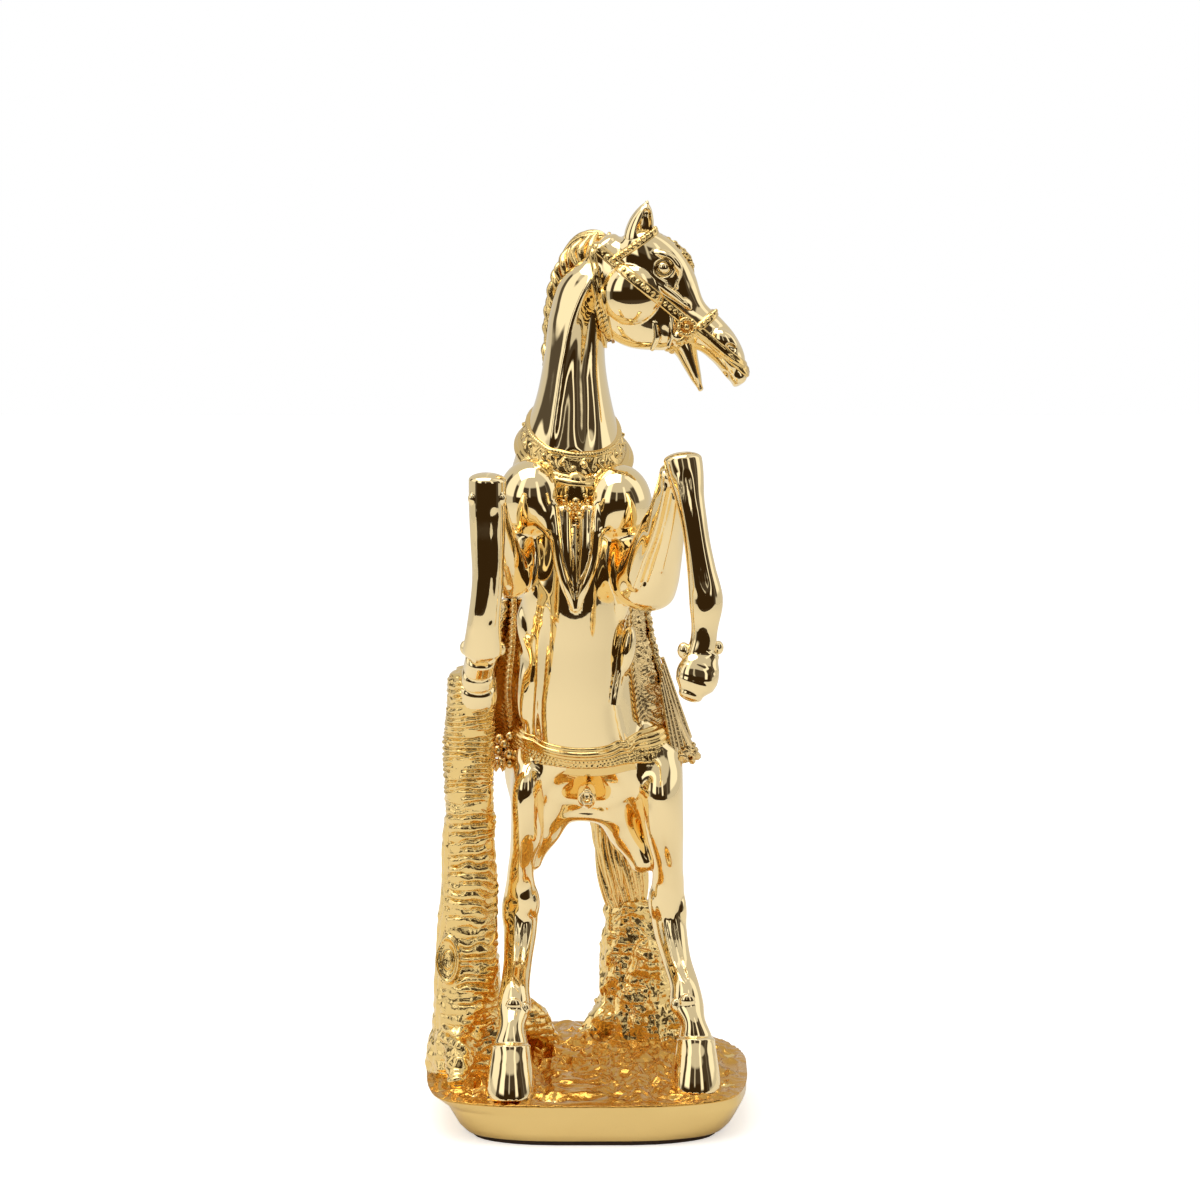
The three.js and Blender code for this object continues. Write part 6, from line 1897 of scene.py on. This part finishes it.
class STATUE_OT_stage(bpy.types.Operator):
    """White floor, studio light and the camera"""

    bl_idname = "statue.stage"
    bl_label = "Stage"

    def execute(self, context):
        self.make_floor()
        self.make_world(context.scene)
        self.make_lamps()
        self.make_camera(context.scene)
        view = context.scene.view_settings
        view.view_transform = "Standard"
        context.scene.cycles.max_bounces = MOST_BOUNCES
        context.scene.cycles.glossy_bounces = MOST_GOLD_BOUNCES
        return {"FINISHED"}

    def make_floor(self):
        """Paper floor. It ends short of the camera, so that the plate also mirrors the dark in front of it."""
        mesh = bpy.data.meshes.new("studio_floor")
        wide, near, far = FLOOR_HALF_WIDTH, FLOOR_NEAR, FLOOR_FAR
        mesh.from_pydata([(-wide, near, 0), (wide, near, 0), (wide, far, 0), (-wide, far, 0)], [], [(0, 1, 2, 3)])
        floor = bpy.data.objects.new("studio_floor", mesh)
        bpy.context.scene.collection.objects.link(floor)
        material = bpy.data.materials.new("white_paper_floor")
        material.use_nodes = True
        tree = material.node_tree
        tree.nodes.clear()
        paper = add_node(tree, "ShaderNodeBsdfDiffuse", inputs={"Color": linear("#f4f2ee")})
        ray = add_node(tree, "ShaderNodeLightPath").outputs["Is Camera Ray"]
        lift = add_node(tree, "ShaderNodeMath", {"operation": "MULTIPLY"}, {0: ray, 1: 0.5})
        glow = add_node(tree, "ShaderNodeEmission", inputs={"Color": (1, 1, 1, 1), "Strength": lift.outputs["Value"]})
        both = add_node(tree, "ShaderNodeAddShader", inputs={0: paper.outputs["BSDF"], 1: glow.outputs["Emission"]})
        add_node(tree, "ShaderNodeOutputMaterial", inputs={"Surface": both.outputs["Shader"]})
        mesh.materials.append(material)

    def make_world(self, scene):
        """White to the camera. To reflections it is a studio: bright walls with dark gaps beside the camera."""
        world = bpy.data.worlds.new("studio_tent")
        world.use_nodes = True
        scene.world = world
        tree = world.node_tree
        tree.nodes.clear()
        way = add_node(tree, "ShaderNodeTexCoord").outputs["Generated"]
        parts = add_node(tree, "ShaderNodeSeparateXYZ", inputs={"Vector": way})

        def math_node(kind, first, second=0.0):
            return add_node(tree, "ShaderNodeMath", {"operation": kind}, {0: first, 1: second}).outputs["Value"]

        def between(value, low, high):
            """0 below low and 1 above high, with a smooth step."""
            node = add_node(tree, "ShaderNodeMapRange", {"interpolation_type": "SMOOTHSTEP"}, {"Value": value})
            node.inputs["From Min"].default_value, node.inputs["From Max"].default_value = low, high
            return node.outputs["Result"]

        def band(value, low, high):
            """1 between low and high, with edges of PATCH_EDGE degrees to either side."""
            rise = between(value, low - PATCH_EDGE, low + PATCH_EDGE)
            return math_node("MULTIPLY", rise, between(value, high + PATCH_EDGE, high - PATCH_EDGE))

        def over(under, mask, grey):
            """Grey laid over what is under it, where the mask is 1."""
            node = add_node(tree, "ShaderNodeMix", {"data_type": "FLOAT"}, {"Factor": mask, "A": under, "B": grey})
            return node.outputs[0]

        toward_camera = math_node("MULTIPLY", parts.outputs["Y"], -1.0)
        side = math_node("MULTIPLY", math_node("ARCTAN2", parts.outputs["X"], toward_camera), DEGREES)
        rise = math_node("MULTIPLY", math_node("ARCSINE", parts.outputs["Z"]), DEGREES)
        light = math_node("ADD", 0.0, OPEN_STUDIO)
        for low, high, bottom, top, grey in STUDIO_PATCHES:
            patch = math_node("MULTIPLY", band(side, low, high), band(rise, bottom, top))
            light = over(light, patch, grey)
        warm = [math_node("ADD", light, share) for share in WARM_GLOW]
        studio = add_node(tree, "ShaderNodeCombineColor", inputs=dict(enumerate(warm)))
        camera_ray = add_node(tree, "ShaderNodeLightPath").outputs["Is Camera Ray"]
        shades = {"Factor": camera_ray, "A": studio.outputs["Color"], "B": (1, 1, 1, 1)}
        seen = add_node(tree, "ShaderNodeMix", {"data_type": "RGBA"}, shades)
        glow = add_node(tree, "ShaderNodeBackground", inputs={"Color": seen.outputs["Result"], "Strength": 1.0})
        add_node(tree, "ShaderNodeOutputWorld", inputs={"Surface": glow.outputs["Background"]})

    def make_lamps(self):
        """One soft lamp above gives the shadow on the floor."""
        lamp = bpy.data.lights.new("overhead_softbox", "AREA")
        lamp.shape = "RECTANGLE"
        lamp.size, lamp.size_y = LAMP_SIZE
        lamp.energy = LAMP_WATTS
        holder = bpy.data.objects.new("overhead_softbox", lamp)
        holder.location = LAMP_PLACE
        holder.rotation_euler = LAMP_TURN
        bpy.context.scene.collection.objects.link(holder)

    def make_camera(self, scene):
        """Camera at the photograph's height and distance, aimed at the middle of the statue."""
        camera = bpy.data.cameras.new("photo_camera")
        camera.lens, camera.sensor_width = CAMERA_LENS, 36.0
        camera.clip_start, camera.clip_end = 0.05, 20.0
        holder = bpy.data.objects.new("photo_camera", camera)
        back = np.array([0, -math.cos(CAMERA_ELEVATION), math.sin(CAMERA_ELEVATION)])
        holder.location = (CAMERA_AIM + CAMERA_DISTANCE * back) * MM
        holder.rotation_euler = (math.pi / 2 - CAMERA_ELEVATION, 0, 0)
        scene.collection.objects.link(holder)
        scene.camera = holder


STEPS = (
    STATUE_OT_body,
    STATUE_OT_legs,
    STATUE_OT_head,
    STATUE_OT_ears,
    STATUE_OT_bridle,
    STATUE_OT_breast_collar,
    STATUE_OT_belly_girth,
    STATUE_OT_hair,
    STATUE_OT_cloths,
    STATUE_OT_wood,
    STATUE_OT_ground,
    STATUE_OT_inner_pieces,
    STATUE_OT_stage,
)


class STATUE_PT_sidebar(bpy.types.Panel):
    """Buttons for each group of pieces, and the sizes and colours they use"""

    bl_idname = "STATUE_PT_sidebar"
    bl_label = "Rearing Horse Statue"
    bl_space_type = "VIEW_3D"
    bl_region_type = "UI"
    bl_category = "Statue"

    def draw(self, context):
        for group in (context.scene.statue_sizes, context.scene.statue_colours):
            for key in group.bl_rna.properties.keys():
                if key not in ("rna_type", "name"):
                    self.layout.prop(group, key)
        for step in STEPS:
            self.layout.operator(step.bl_idname)


CLASSES = (StatueSizes, StatueColours, *STEPS, STATUE_PT_sidebar)


def register():
    for item in CLASSES:
        bpy.utils.register_class(item)
    bpy.types.Scene.statue_sizes = bpy.props.PointerProperty(type=StatueSizes)
    bpy.types.Scene.statue_colours = bpy.props.PointerProperty(type=StatueColours)


def unregister():
    del bpy.types.Scene.statue_colours
    del bpy.types.Scene.statue_sizes
    for item in reversed(CLASSES):
        bpy.utils.unregister_class(item)


def main():
    register()
    for step in STEPS:
        group, action = step.bl_idname.split(".")
        getattr(getattr(bpy.ops, group), action)()


if __name__ == "__main__":
    main()
